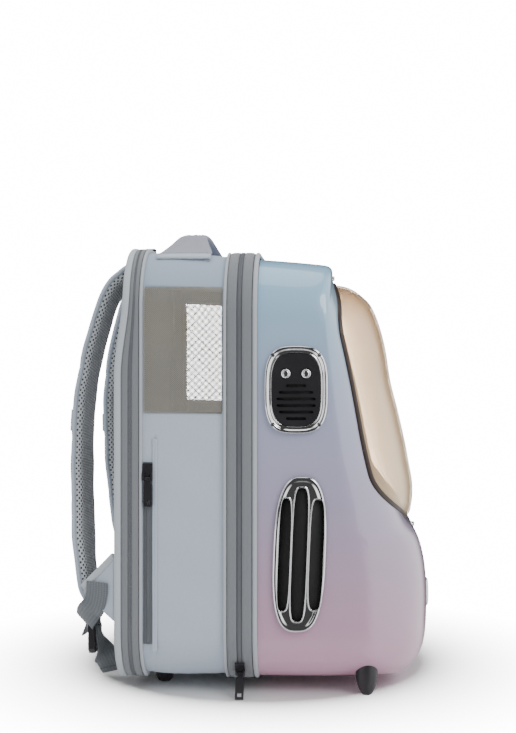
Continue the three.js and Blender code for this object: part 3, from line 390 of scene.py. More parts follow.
def shell_grid(inset=0.0, back=0.0, per_span=6, arc_steps=22, cap_steps=8):
    rows = catmull(SHELL_ROWS, per_span)
    reach, level, side_reach, side_level, corner = rows.T
    low, high = SHELL_BOTTOM + BOTTOM_CORNER, SHELL_BOTTOM + SHELL_HEIGHT - TOP_CORNER
    middle = shell_point(reach, level)
    side = np.column_stack([SHELL_BACK - side_reach * SHELL_DEPTH, low + side_level * (high - low)])
    flats = HALF_WIDTH - corner * (BOTTOM_CORNER + (TOP_CORNER - BOTTOM_CORNER) * side_level)
    middle = close_back(inset_line(middle, inset), SHELL_BACK + back)
    side = close_back(inset_line(side, inset), SHELL_BACK + back)
    return swollen(middle, side, flats, HALF_WIDTH - inset, arc_steps, cap_steps)


def dome_grid(inset=0.0, per_span=7, arc_steps=26, cap_steps=3):
    rows = catmull(DOME_ROWS, per_span)
    reach, bulge, level, side_reach, side_level = rows.T
    middle = shell_point(reach, level)
    middle[:, 0] -= bulge * DOME_BULGE
    side = shell_point(side_reach, side_level)
    flats = np.full(len(rows), float(DOME_FLAT))
    return swollen(inset_line(middle, inset), inset_line(side, inset), flats,
                   HALF_WIDTH - DOME_MARGIN - inset, arc_steps, cap_steps)


def closed_body(name, points):
    """A closed mesh from a swollen grid: the profile closes at the back, and each side ends in a fan."""
    rows, columns = points.shape[:2]
    verts = list(points.reshape(-1, 3))
    faces = ring_faces(rows, columns)
    for row, reverse in ((0, True), (rows - 1, False)):
        verts.append(points[row].mean(axis=0))
        hub = len(verts) - 1
        for c in range(columns):
            face = (row * columns + c, row * columns + (c + 1) % columns, hub)
            faces.append(face[::-1] if reverse else face)
    piece = outward(new_object(name, verts, faces))
    piece.data.shade_smooth()
    return piece


# Finishes

class Paint:
    """A node material being put together."""

    def __init__(self, name, color, roughness, **sockets):
        self.material = bpy.data.materials.new(name)
        self.material.use_nodes = True
        self.tree = self.material.node_tree
        self.shader = self.tree.nodes["Principled BSDF"]
        self.shader.inputs["Base Color"].default_value = (*color, 1)
        self.shader.inputs["Roughness"].default_value = roughness
        for socket, value in sockets.items():
            self.shader.inputs[socket.replace("_", " ")].default_value = value
        self.height = None

    def node(self, kind, **settings):
        node = self.tree.nodes.new("ShaderNode" + kind)
        for key, value in settings.items():
            setattr(node, key, value)
        return node

    def link(self, start, end):
        self.tree.links.new(start, end)

    def math(self, operation, a, b=None):
        node = self.node("Math", operation=operation)
        for index, value in enumerate((a, b)):
            if value is None:
                continue
            if isinstance(value, (int, float)):
                node.inputs[index].default_value = value
            else:
                self.link(value, node.inputs[index])
        return node.outputs[0]

    def axes(self, source="UV"):
        """The three coordinates: the piece's own UVs, or its place in metres."""
        place = self.node("TexCoord")
        split = self.node("SeparateXYZ")
        self.link(place.outputs[source], split.inputs[0])
        return split.outputs

    def wave(self, coordinate, pitch, turn=0.0):
        """A sine from 0 to 1 with one period per pitch in metres."""
        angle = self.math("ADD", self.math("MULTIPLY", coordinate, TAU / pitch), turn)
        return self.math("ADD", self.math("MULTIPLY", self.math("SINE", angle), 0.5), 0.5)

    def noise(self, scale, detail, stretch=(1, 1, 1)):
        """Noise over the piece's place in metres."""
        place = self.node("TexCoord")
        mapping = self.node("Mapping")
        mapping.inputs["Scale"].default_value = stretch
        self.link(place.outputs["Object"], mapping.inputs["Vector"])
        texture = self.node("TexNoise")
        texture.inputs["Scale"].default_value = scale
        texture.inputs["Detail"].default_value = detail
        texture.inputs["Roughness"].default_value = 0.55
        self.link(mapping.outputs[0], texture.inputs["Vector"])
        return texture.outputs[0]

    def blend(self, share, first, second):
        mix = self.node("Mix", data_type="RGBA")
        self.link(share, mix.inputs[0])
        for index, value in ((6, first), (7, second)):
            if isinstance(value, tuple):
                mix.inputs[index].default_value = (*value[:3], 1)
            else:
                self.link(value, mix.inputs[index])
        return mix.outputs[2]

    def ramp(self, value, stops):
        ramp = self.node("ValToRGB")
        elements = ramp.color_ramp.elements
        while len(elements) < len(stops):
            elements.new(0.5)
        for element, (place, color) in zip(elements, stops):
            element.position = place
            element.color = (*color, 1)
        self.link(value, ramp.inputs[0])
        return ramp.outputs[0]

    def remap(self, value, low, high, to_low=0.0, to_high=1.0):
        node = self.node("MapRange")
        self.link(value, node.inputs[0])
        for index, number in ((1, low), (2, high), (3, to_low), (4, to_high)):
            node.inputs[index].default_value = number
        return node.outputs[0]

    def color(self, output):
        self.link(output, self.shader.inputs["Base Color"])
        return self

    def rough(self, output):
        self.link(output, self.shader.inputs["Roughness"])
        return self

    def bump(self, height, distance, strength):
        node = self.node("Bump")
        node.inputs["Distance"].default_value = distance
        node.inputs["Strength"].default_value = strength
        self.link(height, node.inputs["Height"])
        if self.height is not None:
            self.link(self.height, node.inputs["Normal"])
        self.height = node.outputs[0]
        self.link(self.height, self.shader.inputs["Normal"])
        return self

    def mixed_surface(self, share, first, second):
        """Shows the first shader where share is 0 and the second where it is 1."""
        mix = self.node("MixShader")
        for index, output in enumerate((share, first, second)):
            self.link(output, mix.inputs[index])
        self.link(mix.outputs[0], self.tree.nodes["Material Output"].inputs[0])


def srgb(r, g, b):
    """A screen colour in 0 to 255 as the linear colour that shaders use."""
    shares = (r / 255, g / 255, b / 255)
    return tuple(c / 12.92 if c <= 0.04045 else ((c + 0.055) / 1.055) ** 2.4 for c in shares)


def tint(color, factor):
    return tuple(min(1.0, c * factor) for c in color)


def woven(name, color, pitch=0.0011, contrast=0.16, roughness=0.85, diagonal=False):
    """A plain or twill weave with slubs and a faint uneven tone."""
    paint = Paint(name, color, roughness, Sheen_Weight=0.25, Sheen_Roughness=0.5)
    u, v, _ = paint.axes()
    if diagonal:
        weave = paint.wave(paint.math("ADD", u, v), pitch)
    else:
        weave = paint.math("MULTIPLY", paint.wave(u, pitch), paint.wave(v, pitch))
        cross = paint.math("MULTIPLY", paint.wave(u, pitch, math.pi), paint.wave(v, pitch, math.pi))
        weave = paint.math("ADD", weave, cross)
    slub = paint.noise(900, 2.0, stretch=(1, 1, 0.25))
    tone = paint.noise(14, 3.0)
    threads = paint.math("MULTIPLY", weave, paint.remap(slub, 0.3, 0.7, 0.6, 1.0))
    base = paint.blend(threads, tint(color, 1 - contrast), tint(color, 1 + 0.4 * contrast))
    paint.color(paint.blend(paint.remap(tone, 0.3, 0.7, 0.0, 0.22), base, tint(color, 0.88)))
    paint.rough(paint.remap(tone, 0.3, 0.7, roughness - 0.06, roughness + 0.06))
    paint.bump(threads, 0.00025, 0.7)
    paint.bump(tone, 0.0016, 0.25)
    return paint.material


def air_mesh(name, color, dark, pitch):
    """Spacer mesh: rows of diamond holes over a fine knit. The holes are painted dark: painted shade inside
    them.
    """
    paint = Paint(name, color, 0.9, Sheen_Weight=0.3)
    u, v, _ = paint.axes()
    across = paint.wave(u, pitch)
    along = paint.wave(v, pitch * 1.25)
    other = paint.math("MULTIPLY", paint.wave(u, pitch, math.pi), paint.wave(v, pitch * 1.25, math.pi))
    hole = paint.math("MAXIMUM", paint.math("MULTIPLY", across, along), other)
    hole = paint.remap(hole, 0.55, 0.8)
    knit = paint.math("MULTIPLY", paint.wave(u, 0.0012), paint.wave(v, 0.0012))
    thread = paint.blend(knit, tint(color, 0.86), tint(color, 1.08))
    # The holes take the dark colour: painted shade inside the mesh.
    paint.color(paint.blend(hole, thread, dark))
    paint.bump(paint.math("SUBTRACT", 1.0, hole), 0.0014, 0.9)
    paint.bump(knit, 0.0002, 0.6)
    return paint.material


def ribbed(name, color, dark=0.72):
    """Webbing with ribs along its length and fine crosswise threads."""
    pitch = 0.0016
    paint = Paint(name, color, 0.75, Sheen_Weight=0.2)
    u, v, _ = paint.axes()
    rib = paint.wave(u, pitch * 2)
    pick = paint.wave(v, pitch)
    weave = paint.math("MULTIPLY", paint.math("ADD", rib, pick), 0.5)
    paint.color(paint.blend(weave, tint(color, dark), tint(color, 1.12)))
    paint.bump(weave, 0.0004, 0.8)
    return paint.material


def moulded(name, color, roughness):
    """Moulded plastic with a fine grain and slight gloss changes."""
    paint = Paint(name, color, roughness)
    fine = paint.noise(2600, 2.0)
    broad = paint.noise(30, 3.0)
    paint.color(paint.blend(broad, tint(color, 0.9), tint(color, 1.15)))
    paint.rough(paint.remap(broad, 0.3, 0.7, roughness - 0.07, roughness + 0.07))
    paint.bump(fine, 0.00005, 0.5)
    return paint.material


def plated(name, color, roughness):
    """Bright chrome with faint polishing haze."""
    paint = Paint(name, color, roughness, Metallic=1.0)
    haze = paint.noise(60, 4.0)
    paint.rough(paint.remap(haze, 0.3, 0.7, roughness * 0.6, roughness * 1.6))
    paint.color(paint.blend(paint.remap(haze, 0.35, 0.65, 0.0, 0.3), color, tint(color, 0.9)))
    paint.bump(haze, 0.00002, 0.2)
    return paint.material


# Colours, based on pixel readings of the photograph and shifted for the studio light

CLOTH = srgb(186, 198, 212)
CLOTH_TOP = srgb(164, 180, 198)
TAPE = srgb(128, 132, 137)
# A darker tape grey: painted shade in the zip bands' sunk channels. The back panel is given it too.
TAPE_DARK_AND_SHADE = srgb(92, 96, 101)
PIPING = srgb(182, 187, 194)
NET = srgb(164, 161, 153)
MESH_PAD = srgb(206, 211, 216)
WEBBING = srgb(104, 110, 116)
BLACK = srgb(34, 33, 38)


def shell_paint():
    """High gloss paint, blue at the top and pink at the bottom, under a clear coat."""
    paint = Paint("shell_gloss", (0.5, 0.5, 0.5), 0.32, Coat_Weight=1.0, Coat_Roughness=0.025, Coat_IOR=1.5)
    height = paint.axes("Object")[2]
    share = paint.remap(height, 0.012, 0.415)
    colour = paint.ramp(share, [
        (0.0, srgb(198, 148, 172)),
        (0.2, srgb(186, 154, 178)),
        (0.42, srgb(168, 160, 186)),
        (0.68, srgb(164, 174, 200)),
        (0.86, srgb(150, 186, 212)),
        (1.0, srgb(140, 190, 218)),
    ])
    cloud = paint.noise(7, 2.0)
    paint.color(paint.blend(paint.remap(cloud, 0.3, 0.7, 0.0, 0.12), colour, srgb(178, 172, 190)))
    paint.bump(paint.noise(1400, 1.0), 0.00001, 0.15)
    return paint.material


def bubble_paint():
    """Clear warm plastic that tints the light passing through, and is denser where it is seen edge on."""
    paint = Paint("bubble_tint", srgb(226, 200, 170), 0.06, Coat_Weight=0.4, Coat_Roughness=0.02)
    height = paint.axes("Object")[2]
    # The colour runs from pale cream low down to dark brown in the top rim under the shell's brow: the
    # plastic's own warm tint, with painted shade at the rim.
    tone = paint.ramp(paint.remap(height, 0.15, 0.4), [
        (0.0, srgb(255, 232, 196)),
        (0.55, srgb(252, 220, 176)),
        (0.9, srgb(236, 194, 146)),
        (1.0, srgb(160, 118, 84)),
    ])
    paint.color(tone)
    clear = paint.node("BsdfTransparent")
    clear.inputs[0].default_value = (*srgb(250, 241, 230), 1)
    edge = paint.node("LayerWeight")
    edge.inputs["Blend"].default_value = 0.35
    share = paint.remap(edge.outputs["Facing"], 0.0, 1.0, 0.3, 0.85)
    paint.mixed_surface(share, clear.outputs[0], paint.shader.outputs[0])
    return paint.material


cloth = woven("cloth_oxford", CLOTH)
cloth_top = woven("cloth_twill", CLOTH_TOP, pitch=0.0016, contrast=0.24, diagonal=True)
cloth_binding = woven("binding_tape", srgb(188, 196, 202), pitch=0.0009, contrast=0.12)
handle_cloth = woven("handle_cloth", srgb(150, 153, 168), pitch=0.0013, contrast=0.2)
tape = woven("zip_tape", TAPE, pitch=0.0009, contrast=0.22, roughness=0.9)
tape_pocket = woven("zip_tape_pocket", srgb(92, 98, 105), pitch=0.0009, contrast=0.2, roughness=0.9)
tape_dark_and_shade = woven("zip_tape_dark", TAPE_DARK_AND_SHADE, pitch=0.0009, contrast=0.22, roughness=0.9)
coil = moulded("zip_coil", srgb(96, 99, 104), 0.4)
piping = woven("piping_cloth", PIPING, pitch=0.0009, contrast=0.1)
net_cord = moulded("net_cord", NET, 0.8)
# The third colour is painted shade for the insides of the mesh's holes.
pad_mesh = air_mesh("air_mesh", MESH_PAD, srgb(66, 68, 72), pitch=0.0044)
webbing = ribbed("webbing", WEBBING)
webbing_pale = ribbed("webbing_pale", srgb(172, 184, 192), dark=0.85)
black_plastic = moulded("black_plastic", BLACK, 0.4)
# Near black: the vent backings' colour, and painted shade on the walls of carved cuts and on the disc behind
# the grille's slots.
black_and_recess_shade = moulded("black_and_recess_shade", srgb(20, 19, 22), 0.7)
dark_rubber = moulded("dark_rubber", srgb(48, 34, 28), 0.45)
chrome = plated("chrome", (0.86, 0.86, 0.88), 0.07)
thread = moulded("sewing_thread", srgb(176, 185, 194), 0.8)
shell_gloss = shell_paint()
bubble_tint = bubble_paint()
inner_shell = moulded("inner_shell", srgb(236, 228, 222), 0.5)


# Shell, bubble and gasket

def mark(piece, paint):
    piece.data.materials.append(paint)
    return piece


dome_body = closed_body("dome_body", dome_grid())
shell_solid = closed_body("shell_solid", shell_grid(per_span=4, arc_steps=16, cap_steps=4))
dome_opening = closed_body("dome_opening", dome_grid(inset=DOME_WALL + 4, per_span=4, arc_steps=16))

shell = mark(closed_body("front_shell_paint", shell_grid()), shell_gloss)
hollow_grid = shell_grid(inset=SHELL_WALL, back=6, per_span=4, arc_steps=14, cap_steps=4)
hollow = mark(closed_body("hollow", hollow_grid), inner_shell)
mark(dome_opening, inner_shell)
boolean(shell, hollow)
boolean(shell, dome_opening)
sharpen(shell, 32)


def keep_painted(piece, index):
    """Leaves only the faces of one material slot."""
    mesh = bmesh.new()
    mesh.from_mesh(piece.data)
    gone = [face for face in mesh.faces if face.material_index != index]
    bmesh.ops.delete(mesh, geom=gone, context="FACES")
    mesh.to_mesh(piece.data)
    mesh.free()
    return piece


BROW_SLOTS, SLOT_PITCH, SLOT_REACH, SLOT_RADIUS, SLOT_DEPTH = 5, 22, 8.0, 1.5, 8


def vent_slots():
    """Round-ended cutters for the short slots over the brow of the bubble."""
    steps = 16
    outline = []
    for step in range(steps):
        angle = step / steps * TAU
        along = SLOT_REACH * (1 if math.sin(angle) > 0 else -1) + SLOT_RADIUS * math.sin(angle)
        outline.append((SLOT_RADIUS * math.cos(angle), along))
    faces = [list(range(steps - 1, -1, -1)), list(range(steps, 2 * steps)), *ring_faces(2, steps)]
    middle = np.array([
        SHELL_BACK - 0.4576 * SHELL_DEPTH - 0.79 * DOME_BULGE, SHELL_BOTTOM + 0.913 * SHELL_HEIGHT])
    side = np.array([SHELL_BACK - 0.464 * SHELL_DEPTH, SHELL_BOTTOM + 0.797 * SHELL_HEIGHT])
    diagonal = math.sqrt(0.5)
    cutters = []
    for vent in range(BROW_SLOTS):
        x = (vent - (BROW_SLOTS - 1) / 2) * SLOT_PITCH
        y, z = side + (middle - side) * math.sqrt(1 - (x / (HALF_WIDTH - DOME_MARGIN)) ** 2)
        verts = [(x + across, y + diagonal * (along - depth), z + diagonal * (along + depth))
                 for depth in (-SLOT_DEPTH, SLOT_DEPTH) for across, along in outline]
        cutters.append(new_object("slot", verts, faces))
    return join("slots", cutters)


dome = mark(dome_body, bubble_tint)
mark(shell_solid, inner_shell)
boolean(dome, shell_solid)
keep_painted(dome, 0)
slots = mark(vent_slots(), inner_shell)


def seam_line(piece):
    """The longest open edge loop of a mesh, in millimetres, in order."""
    mesh = bmesh.new()
    mesh.from_mesh(piece.data)
    edges = {edge for edge in mesh.edges if edge.is_boundary}
    loops = []
    while edges:
        edge = edges.pop()
        line = [edge.verts[0], edge.verts[1]]
        while True:
            step = next((e for e in line[-1].link_edges if e in edges), None)
            if step is None:
                break
            edges.remove(step)
            line.append(step.other_vert(line[-1]))
        loops.append(np.array([vert.co[:] for vert in line]) / MM - SHIFT)
    mesh.free()
    loops.sort(key=lambda line: np.linalg.norm(np.diff(line, axis=0), axis=1).sum())
    line = loops[-1]
    return line[:-1] if np.linalg.norm(line[0] - line[-1]) < 0.01 else line


rim = seam_line(dome)
solidify(dome, DOME_WALL)
bake(dome)
boolean(dome, slots)
sharpen(dome, 40)
finish(shell, replaced=["front_shell"])
finish(dome, replaced=["bubble_window"])
dome.name = "bubble_window_clear"


def closed_tube(name, line, section, ups):
    """A closed tube along a line. section: (sideways, up) points; ups: the up direction at each point."""
    along = np.roll(line, -1, axis=0) - np.roll(line, 1, axis=0)
    along /= np.linalg.norm(along, axis=1, keepdims=True)
    ups = ups - along * (ups * along).sum(axis=1, keepdims=True)
    ups /= np.linalg.norm(ups, axis=1, keepdims=True)
    sideways = np.cross(along, ups)
    rings = [[line[i] + (sideways[i] * a + ups[i] * b) for a, b in section] for i in range(len(line))]
    return sheet_grid(name, np.array(rings), wrap_rows=True, wrap_columns=True, flip=True)


def superellipse(angle, power):
    """A point of the unit superellipse: a circle at power 2, and squarer above."""
    c, s = math.cos(angle), math.sin(angle)
    return math.copysign(abs(c) ** (2 / power), c), math.copysign(abs(s) ** (2 / power), s)


def rounded_section(width, height, steps, power):
    points = [superellipse(step / steps * TAU, power) for step in range(steps)]
    return [(width / 2 * c, height / 2 * s) for c, s in points]


shell_centre = np.array([0, SHELL_BACK - 70, 200.0])
gasket_line = even(rim, 260, closed=True)
gasket = closed_tube("bubble_gasket_seal", gasket_line, rounded_section(6.4, 4.2, 10, 2.6),
                     gasket_line - shell_centre)
finish(gasket, dark_rubber, replaced=["bubble_gasket"])
remove(hollow, dome_opening, slots)


# Bands, binding and piping round the body

def zip_band(name, low, high, replaced, lean=0.0):
    """A zip band: padded tape each side of a sunk row of coils, with the sunk channel painted darker as painted
    shade.
    """
    middle = (low + high) / 2
    # A flange runs on under the piping at each edge, so that no light shows between them
    flange, under = 1.2, -1.4
    rows = [(low - flange, -CLOTH_WALL, 0), (low - flange, under, 0), (low, under, 0)]
    edge = BAND_PROUD - 1.2
    shape = [
        (0.0, edge), (0.04, BAND_PROUD - 0.4), (0.12, BAND_PROUD), (0.3, BAND_PROUD + 0.1),
        (0.385, BAND_PROUD - 0.1), (0.4, BAND_PROUD - 0.9), (0.5, BAND_PROUD - 1.0), (0.6, BAND_PROUD - 0.9),
        (0.615, BAND_PROUD - 0.1), (0.7, BAND_PROUD + 0.1), (0.88, BAND_PROUD),
        (0.96, BAND_PROUD - 0.4), (1.0, edge),
    ]
    for share, grow in shape:
        rows.append((low + share * (high - low), grow, lean * share))
    rows += [(high, under, lean), (high + flange, under, lean), (high + flange, -CLOTH_WALL, lean)]
    band = mark(mark(body_hoop(name, rows), tape), tape_dark_and_shade)
    # The sunk rows take the darker grey: painted shade in the groove.
    sunk_rows = range(7, 11)
    for polygon in band.data.polygons:
        polygon.material_index = int(polygon.index // OUTLINE_COUNT in sunk_rows)
    finish(band, replaced=replaced)
    return middle


# A coil's section: share of its half width, height
COIL_SECTION = [(-1, -0.7), (-0.75, 0.5), (-0.2, 0.75), (0.2, 0.75), (0.75, 0.5), (1, -0.7)]
COIL_LENGTH = 1390


def coil_rows(count):
    """Interlocked turns of four points each: every row's place across and its heights."""
    phase = np.arange(count) % 4
    for row, (across, lift) in enumerate(COIL_SECTION):
        own = phase if row < 3 else (phase + 2) % 4
        yield across, lift * (0.35 + 0.65 * np.where(own < 2, 1.0, 0.15))


def coil_piece(name, rows, wrap):
    piece = sheet_grid(name, np.array(rows), wrap_columns=wrap)
    piece.data.shade_flat()
    finish(piece, coil)


def zip_coil(name, y, lean=0.0, half_width=2.1, pitch=1.7):
    """A row of interlocked coil turns round the whole body."""
    count = int(COIL_LENGTH / pitch) * 4
    outline = body_outline(count)
    rows = [body_ring(y + across * half_width, BAND_PROUD - 0.6 + height, lean, outline)
            for across, height in coil_rows(count)]
    coil_piece(name, rows, wrap=True)


front_middle = zip_band("front_zip_tape", *FRONT_BAND, replaced=["front_zip_band"])
zip_coil("front_zip_coil", front_middle)
rear_middle = zip_band("rear_zip_tape", *REAR_BAND, replaced=["rear_zip_band"], lean=1.0)
zip_coil("rear_zip_coil", rear_middle, lean=0.5)

low, high = BINDING
finish(body_hoop("rear_binding_tape", [
    (low, -CLOTH_WALL, 1), (low, BAND_PROUD - 0.3, 1), (low + 0.5, BAND_PROUD + 0.3, 1),
    (low + 3.3, BAND_PROUD + 0.7, 1), (high - 1.4, BAND_PROUD + 0.2, 1), (high - 0.3, BAND_PROUD - 1.2, 1),
    (high, BAND_PROUD - 2.6, 1), (high, -CLOTH_WALL, 1),
]), cloth_binding, replaced=["rear_binding"])


def cord_hoop(name, y, width, lift=0.3):
    crown = BAND_PROUD + lift
    rows = []
    for step in range(12):
        angle = step / 12 * TAU
        rows.append((y + width / 2 * math.sin(angle), crown - (crown + 1.2) / 2 * (1 - math.cos(angle)), 0))
    return body_hoop(name, rows)


finish(cord_hoop("shell_edge_piping", -7.6, 4.8, 0.2), piping, replaced=["shell_piping"])
finish(cord_hoop("front_body_piping", 20.5, 3.2), piping, replaced=["body_piping_front"])
finish(cord_hoop("rear_body_piping", 99.6, 3.2), piping, replaced=["body_piping_rear"])


# Cloth body with net windows

def cloth_grow(y, z):
    """How far the cloth stands out from its own outline at a place."""
    edge = smoothstep(y, BODY[0], BODY[0] + 8) * (1 - smoothstep(y, BODY[1] - 8, BODY[1]))
    puff = 1.5 * edge * np.sin(depth_share(y) * math.pi)
    ripple = 0.35 * np.sin(z * 0.047 + y * 0.09) + 0.25 * np.sin(z * 0.113 - y * 0.06 + 1.7)
    return puff + ripple * edge


def body_panel(name, ys, keep, extra):
    """The cloth hoop with both faces, leaving out what keep refuses."""
    x, z = OUTLINE.T
    points = np.array([body_ring(y, cloth_grow(y, z) + extra(y, x, z)) for y in ys])

    def skip(r, c):
        centre = (points[r, c] + points[r + 1, (c + 1) % OUTLINE_COUNT]) / 2
        centre[2] = (OUTLINE[c, 1] + OUTLINE[(c + 1) % OUTLINE_COUNT, 1]) / 2
        return not keep(centre)

    return solidify(sheet_grid(name, points, wrap_columns=True, skip=skip), -CLOTH_WALL)


def in_window(point):
    x, y, z = point
    return (abs(x) > 20 and BODY[0] + WINDOW_HEM < y < BODY[1] - WINDOW_HEM
            and WINDOW_BOTTOM + WINDOW_HEM < z < WINDOW_TOP - WINDOW_HEM)


def groove(distance, width, depth):
    return -depth * np.exp(-(np.asarray(distance) / width) ** 2)


POCKET_SEAM = 86.4


def seams(y, x, z):
    """Sewn lines pressed into the cloth: the pocket's edge, the window's lower hem and the base seam."""
    side = (np.abs(x) > 150).astype(float)
    left = (x < -150).astype(float)
    grow = np.zeros_like(z)
    grow += left * groove(y - POCKET_SEAM, 1.0, 1.0) * ((z > 40) & (z < 243))
    grow += side * groove(z - 246, 1.1, 0.9)
    grow += side * groove(z - 60, 1.6, 0.5)
    return grow


# The cloth runs on into the piping at both ends
ys = sorted({
    BODY[0] - 1.2, BODY[1] + 1.2, *np.linspace(BODY[0], BODY[1], 46).round(2),
    BODY[0] + WINDOW_HEM, BODY[1] - WINDOW_HEM, POCKET_SEAM, POCKET_SEAM - 1, POCKET_SEAM + 1,
})
TOP_PANEL = 384
cloth_body = body_panel("cloth_body_panel", ys, keep=lambda point: not in_window(point), extra=seams)
mark(mark(cloth_body, cloth), cloth_top)
for polygon in cloth_body.data.polygons:
    if polygon.center.z > TOP_PANEL * MM:
        polygon.material_index = 1
bake(cloth_body)
finish(cloth_body, replaced=["cloth_body"])


def surface_at(y, z, sign, grow):
    """A point on the body's side or shoulder at a depth and height."""
    top = BODY_TOP - TOP_CORNER + BODY_TOP_RISE * depth_share(y)
    if z <= top:
        return np.array([sign * (HALF_WIDTH + grow), y, z])
    angle = math.asin(min(1, (z - top) / TOP_CORNER))
    return np.array([sign * (HALF_WIDTH - TOP_CORNER + (TOP_CORNER + grow) * math.cos(angle)), y,
                     top + (TOP_CORNER + grow) * math.sin(angle)])


def net_window(name, sign, replaced):
    """Real net: two layers of cords crossing on the diagonal, over the window."""
    pitch = 1.9
    y0, y1 = BODY[0] + 0.3, BODY[1] - 0.3
    z0, z1 = WINDOW_BOTTOM, WINDOW_TOP + 3
    columns = int((y1 - y0) / pitch)
    rows = int((z1 - z0) / pitch)
    verts, faces = [], []
    index = {}
    for r in range(2 * rows + 1):
        for c in range(2 * columns + 1):
            if (r + c) % 2 == 0:
                y = y0 + (y1 - y0) * c / (2 * columns)
                z = z0 + (z1 - z0) * r / (2 * rows)
                index[r, c] = len(verts)
                verts.append(surface_at(y, z, sign, 0.7 + float(cloth_grow(y, z))))
    for r in range(1, 2 * rows):
        for c in range(1, 2 * columns):
            if (r + c) % 2 == 1:
                faces.append([index[r - 1, c], index[r, c + 1], index[r + 1, c], index[r, c - 1]])
    piece = new_object(name, verts, faces)
    wire = piece.modifiers.new("cords", "WIREFRAME")
    wire.thickness = 0.8 * MM
    wire.use_even_offset = False
    bake(piece)
    piece.data.shade_smooth()
    finish(piece, net_cord, replaced=replaced)


for side_name, sign in SIDES.items():
    net_window(f"net_{side_name}", sign, [f"net_window_{side_name}"])


# Straps, webbing and handle

def flat_uv(piece, first=0, second=2):
    """UVs in metres straight from two of the coordinates."""
    layer = piece.data.uv_layers.active or piece.data.uv_layers.new(name="UVMap")
    for loop in piece.data.loops:
        place = piece.data.vertices[loop.vertex_index].co
        layer.data[loop.index].uv = (place[first], place[second])
    return piece


def ribbon(name, line, widths, section, across, rise=None):
    """A band along a line. section: (share of the half width, height) points, or rise(way, share, height)."""
    line = np.asarray(line, float)
    count = len(line)
    along = np.gradient(line, axis=0)
    along /= np.linalg.norm(along, axis=1, keepdims=True)
    across = np.broadcast_to(np.asarray(across, float), line.shape).copy()
    across -= along * (across * along).sum(axis=1, keepdims=True)
    across /= np.linalg.norm(across, axis=1, keepdims=True)
    out = np.cross(across, along)
    widths = np.broadcast_to(np.asarray(widths, float), (count,))
    rings = []
    for i in range(count):
        way = i / (count - 1)
        ring = []
        for share, height in section:
            if rise is not None:
                height = rise(way, share, height)
            ring.append(line[i] + across[i] * share * widths[i] / 2 + out[i] * height)
        rings.append(ring)
    return outward(sheet_grid(name, np.array(rings), wrap_columns=True, caps=True))


def flat_section(half_thick, bulge=0.15):
    """A thin band's section with rounded edges."""
    shares = [-1 + 2 * i / 6 for i in range(7)]
    top = [(share, half_thick * (1 + bulge * (1 - share ** 2))) for share in shares]
    top[0] = (-0.985, half_thick * 0.8)
    top[-1] = (0.985, half_thick * 0.8)
    bottom = [(share, -height) for share, height in reversed(top)]
    return top + [(1, 0.0)] + bottom + [(-1, 0.0)]


STITCH_LENGTH, STITCH_PITCH, STITCH_WIDTH, STITCH_LIFT = 2.3, 3.4, 0.55, 0.25


def stitches(name, line, outs):
    """Sewing stitches along a line, lying on a surface whose outward direction is outs."""
    line = np.asarray(line, float)
    outs = np.broadcast_to(np.asarray(outs, float), line.shape)
    steps = np.linalg.norm(np.diff(line, axis=0), axis=1)
    total = np.concatenate([[0], np.cumsum(steps)])
    count = max(2, int(total[-1] / STITCH_PITCH))
    verts, faces = [], []
    for k in range(count):
        at = (k + 0.5) * total[-1] / count
        ends = []
        for d in (-STITCH_LENGTH / 2, 0, STITCH_LENGTH / 2):
            ends.append([np.interp(at + d, total, line[:, a]) for a in range(3)])
        a, m, b = map(np.array, ends)
        out = np.array([np.interp(at, total, outs[:, i]) for i in range(3)])
        out /= np.linalg.norm(out)
        run = (b - a) / np.linalg.norm(b - a)
        side = np.cross(run, out)
        base = len(verts)
        for centre, w, h in ((a, 0.5, -0.2), (m, 1.0, STITCH_LIFT + 0.15), (b, 0.5, -0.2)):
            for c, s in ((-1, 0.0), (0, 1.0), (1, 0.0), (0, -0.6)):
                verts.append(centre + side * c * w * STITCH_WIDTH / 2 + out * (h + s * 0.22))
        for r in range(2):
            for c in range(4):
                d = (c + 1) % 4
                faces.append((base + 4 * r + c, base + 4 * r + d, base + 4 * r + 4 + d, base + 4 * r + 4 + c))
    finish(new_object(name, verts, faces), thread)


STRAP_ROUTE = [  # spread, back, level as shares of the strap's reach
    (0, -0.11, 1), (0.02, 0.03, 0.993), (0.04, 0.17, 0.98), (0.06, 0.34, 0.96), (0.1, 0.54, 0.917),
    (0.15, 0.72, 0.847), (0.21, 0.85, 0.785), (0.3, 0.965, 0.697), (0.4, 1, 0.611), (0.5, 0.985, 0.501),
    (0.64, 0.924, 0.391), (0.77, 0.86, 0.313), (0.89, 0.745, 0.24), (0.97, 0.62, 0.205), (1, 0.59, 0.181),
]
STRAP_X, STRAP_SPREAD, STRAP_Y, STRAP_BACK, STRAP_TOP = 56, 66, 125, 46, 409


def strap_line(sign, count):
    rows = [(sign * (STRAP_X + spread * STRAP_SPREAD), STRAP_Y + back * STRAP_BACK, level * STRAP_TOP)
            for spread, back, level in STRAP_ROUTE]
    return even(catmull(rows, 10), count)


def strap_widths(count):
    return 65 - 27 * smoothstep(np.linspace(0, 1, count), 0.78, 1)


def half_section(rows):
    return rows + [(-share, height) for share, height in reversed(rows) if share]


def strap_wave(way, share, height):
    soft = 0.22 * math.sin(way * 37 + 2.1 * share) + 0.15 * math.sin(way * 61 - 1.3 * share + 1.0)
    dips = sum(-0.5 * math.exp(-((way - place) / 0.01) ** 2) for place in (0.335, 0.53, 0.7))
    return height + soft + (dips if height > 4 else 0)


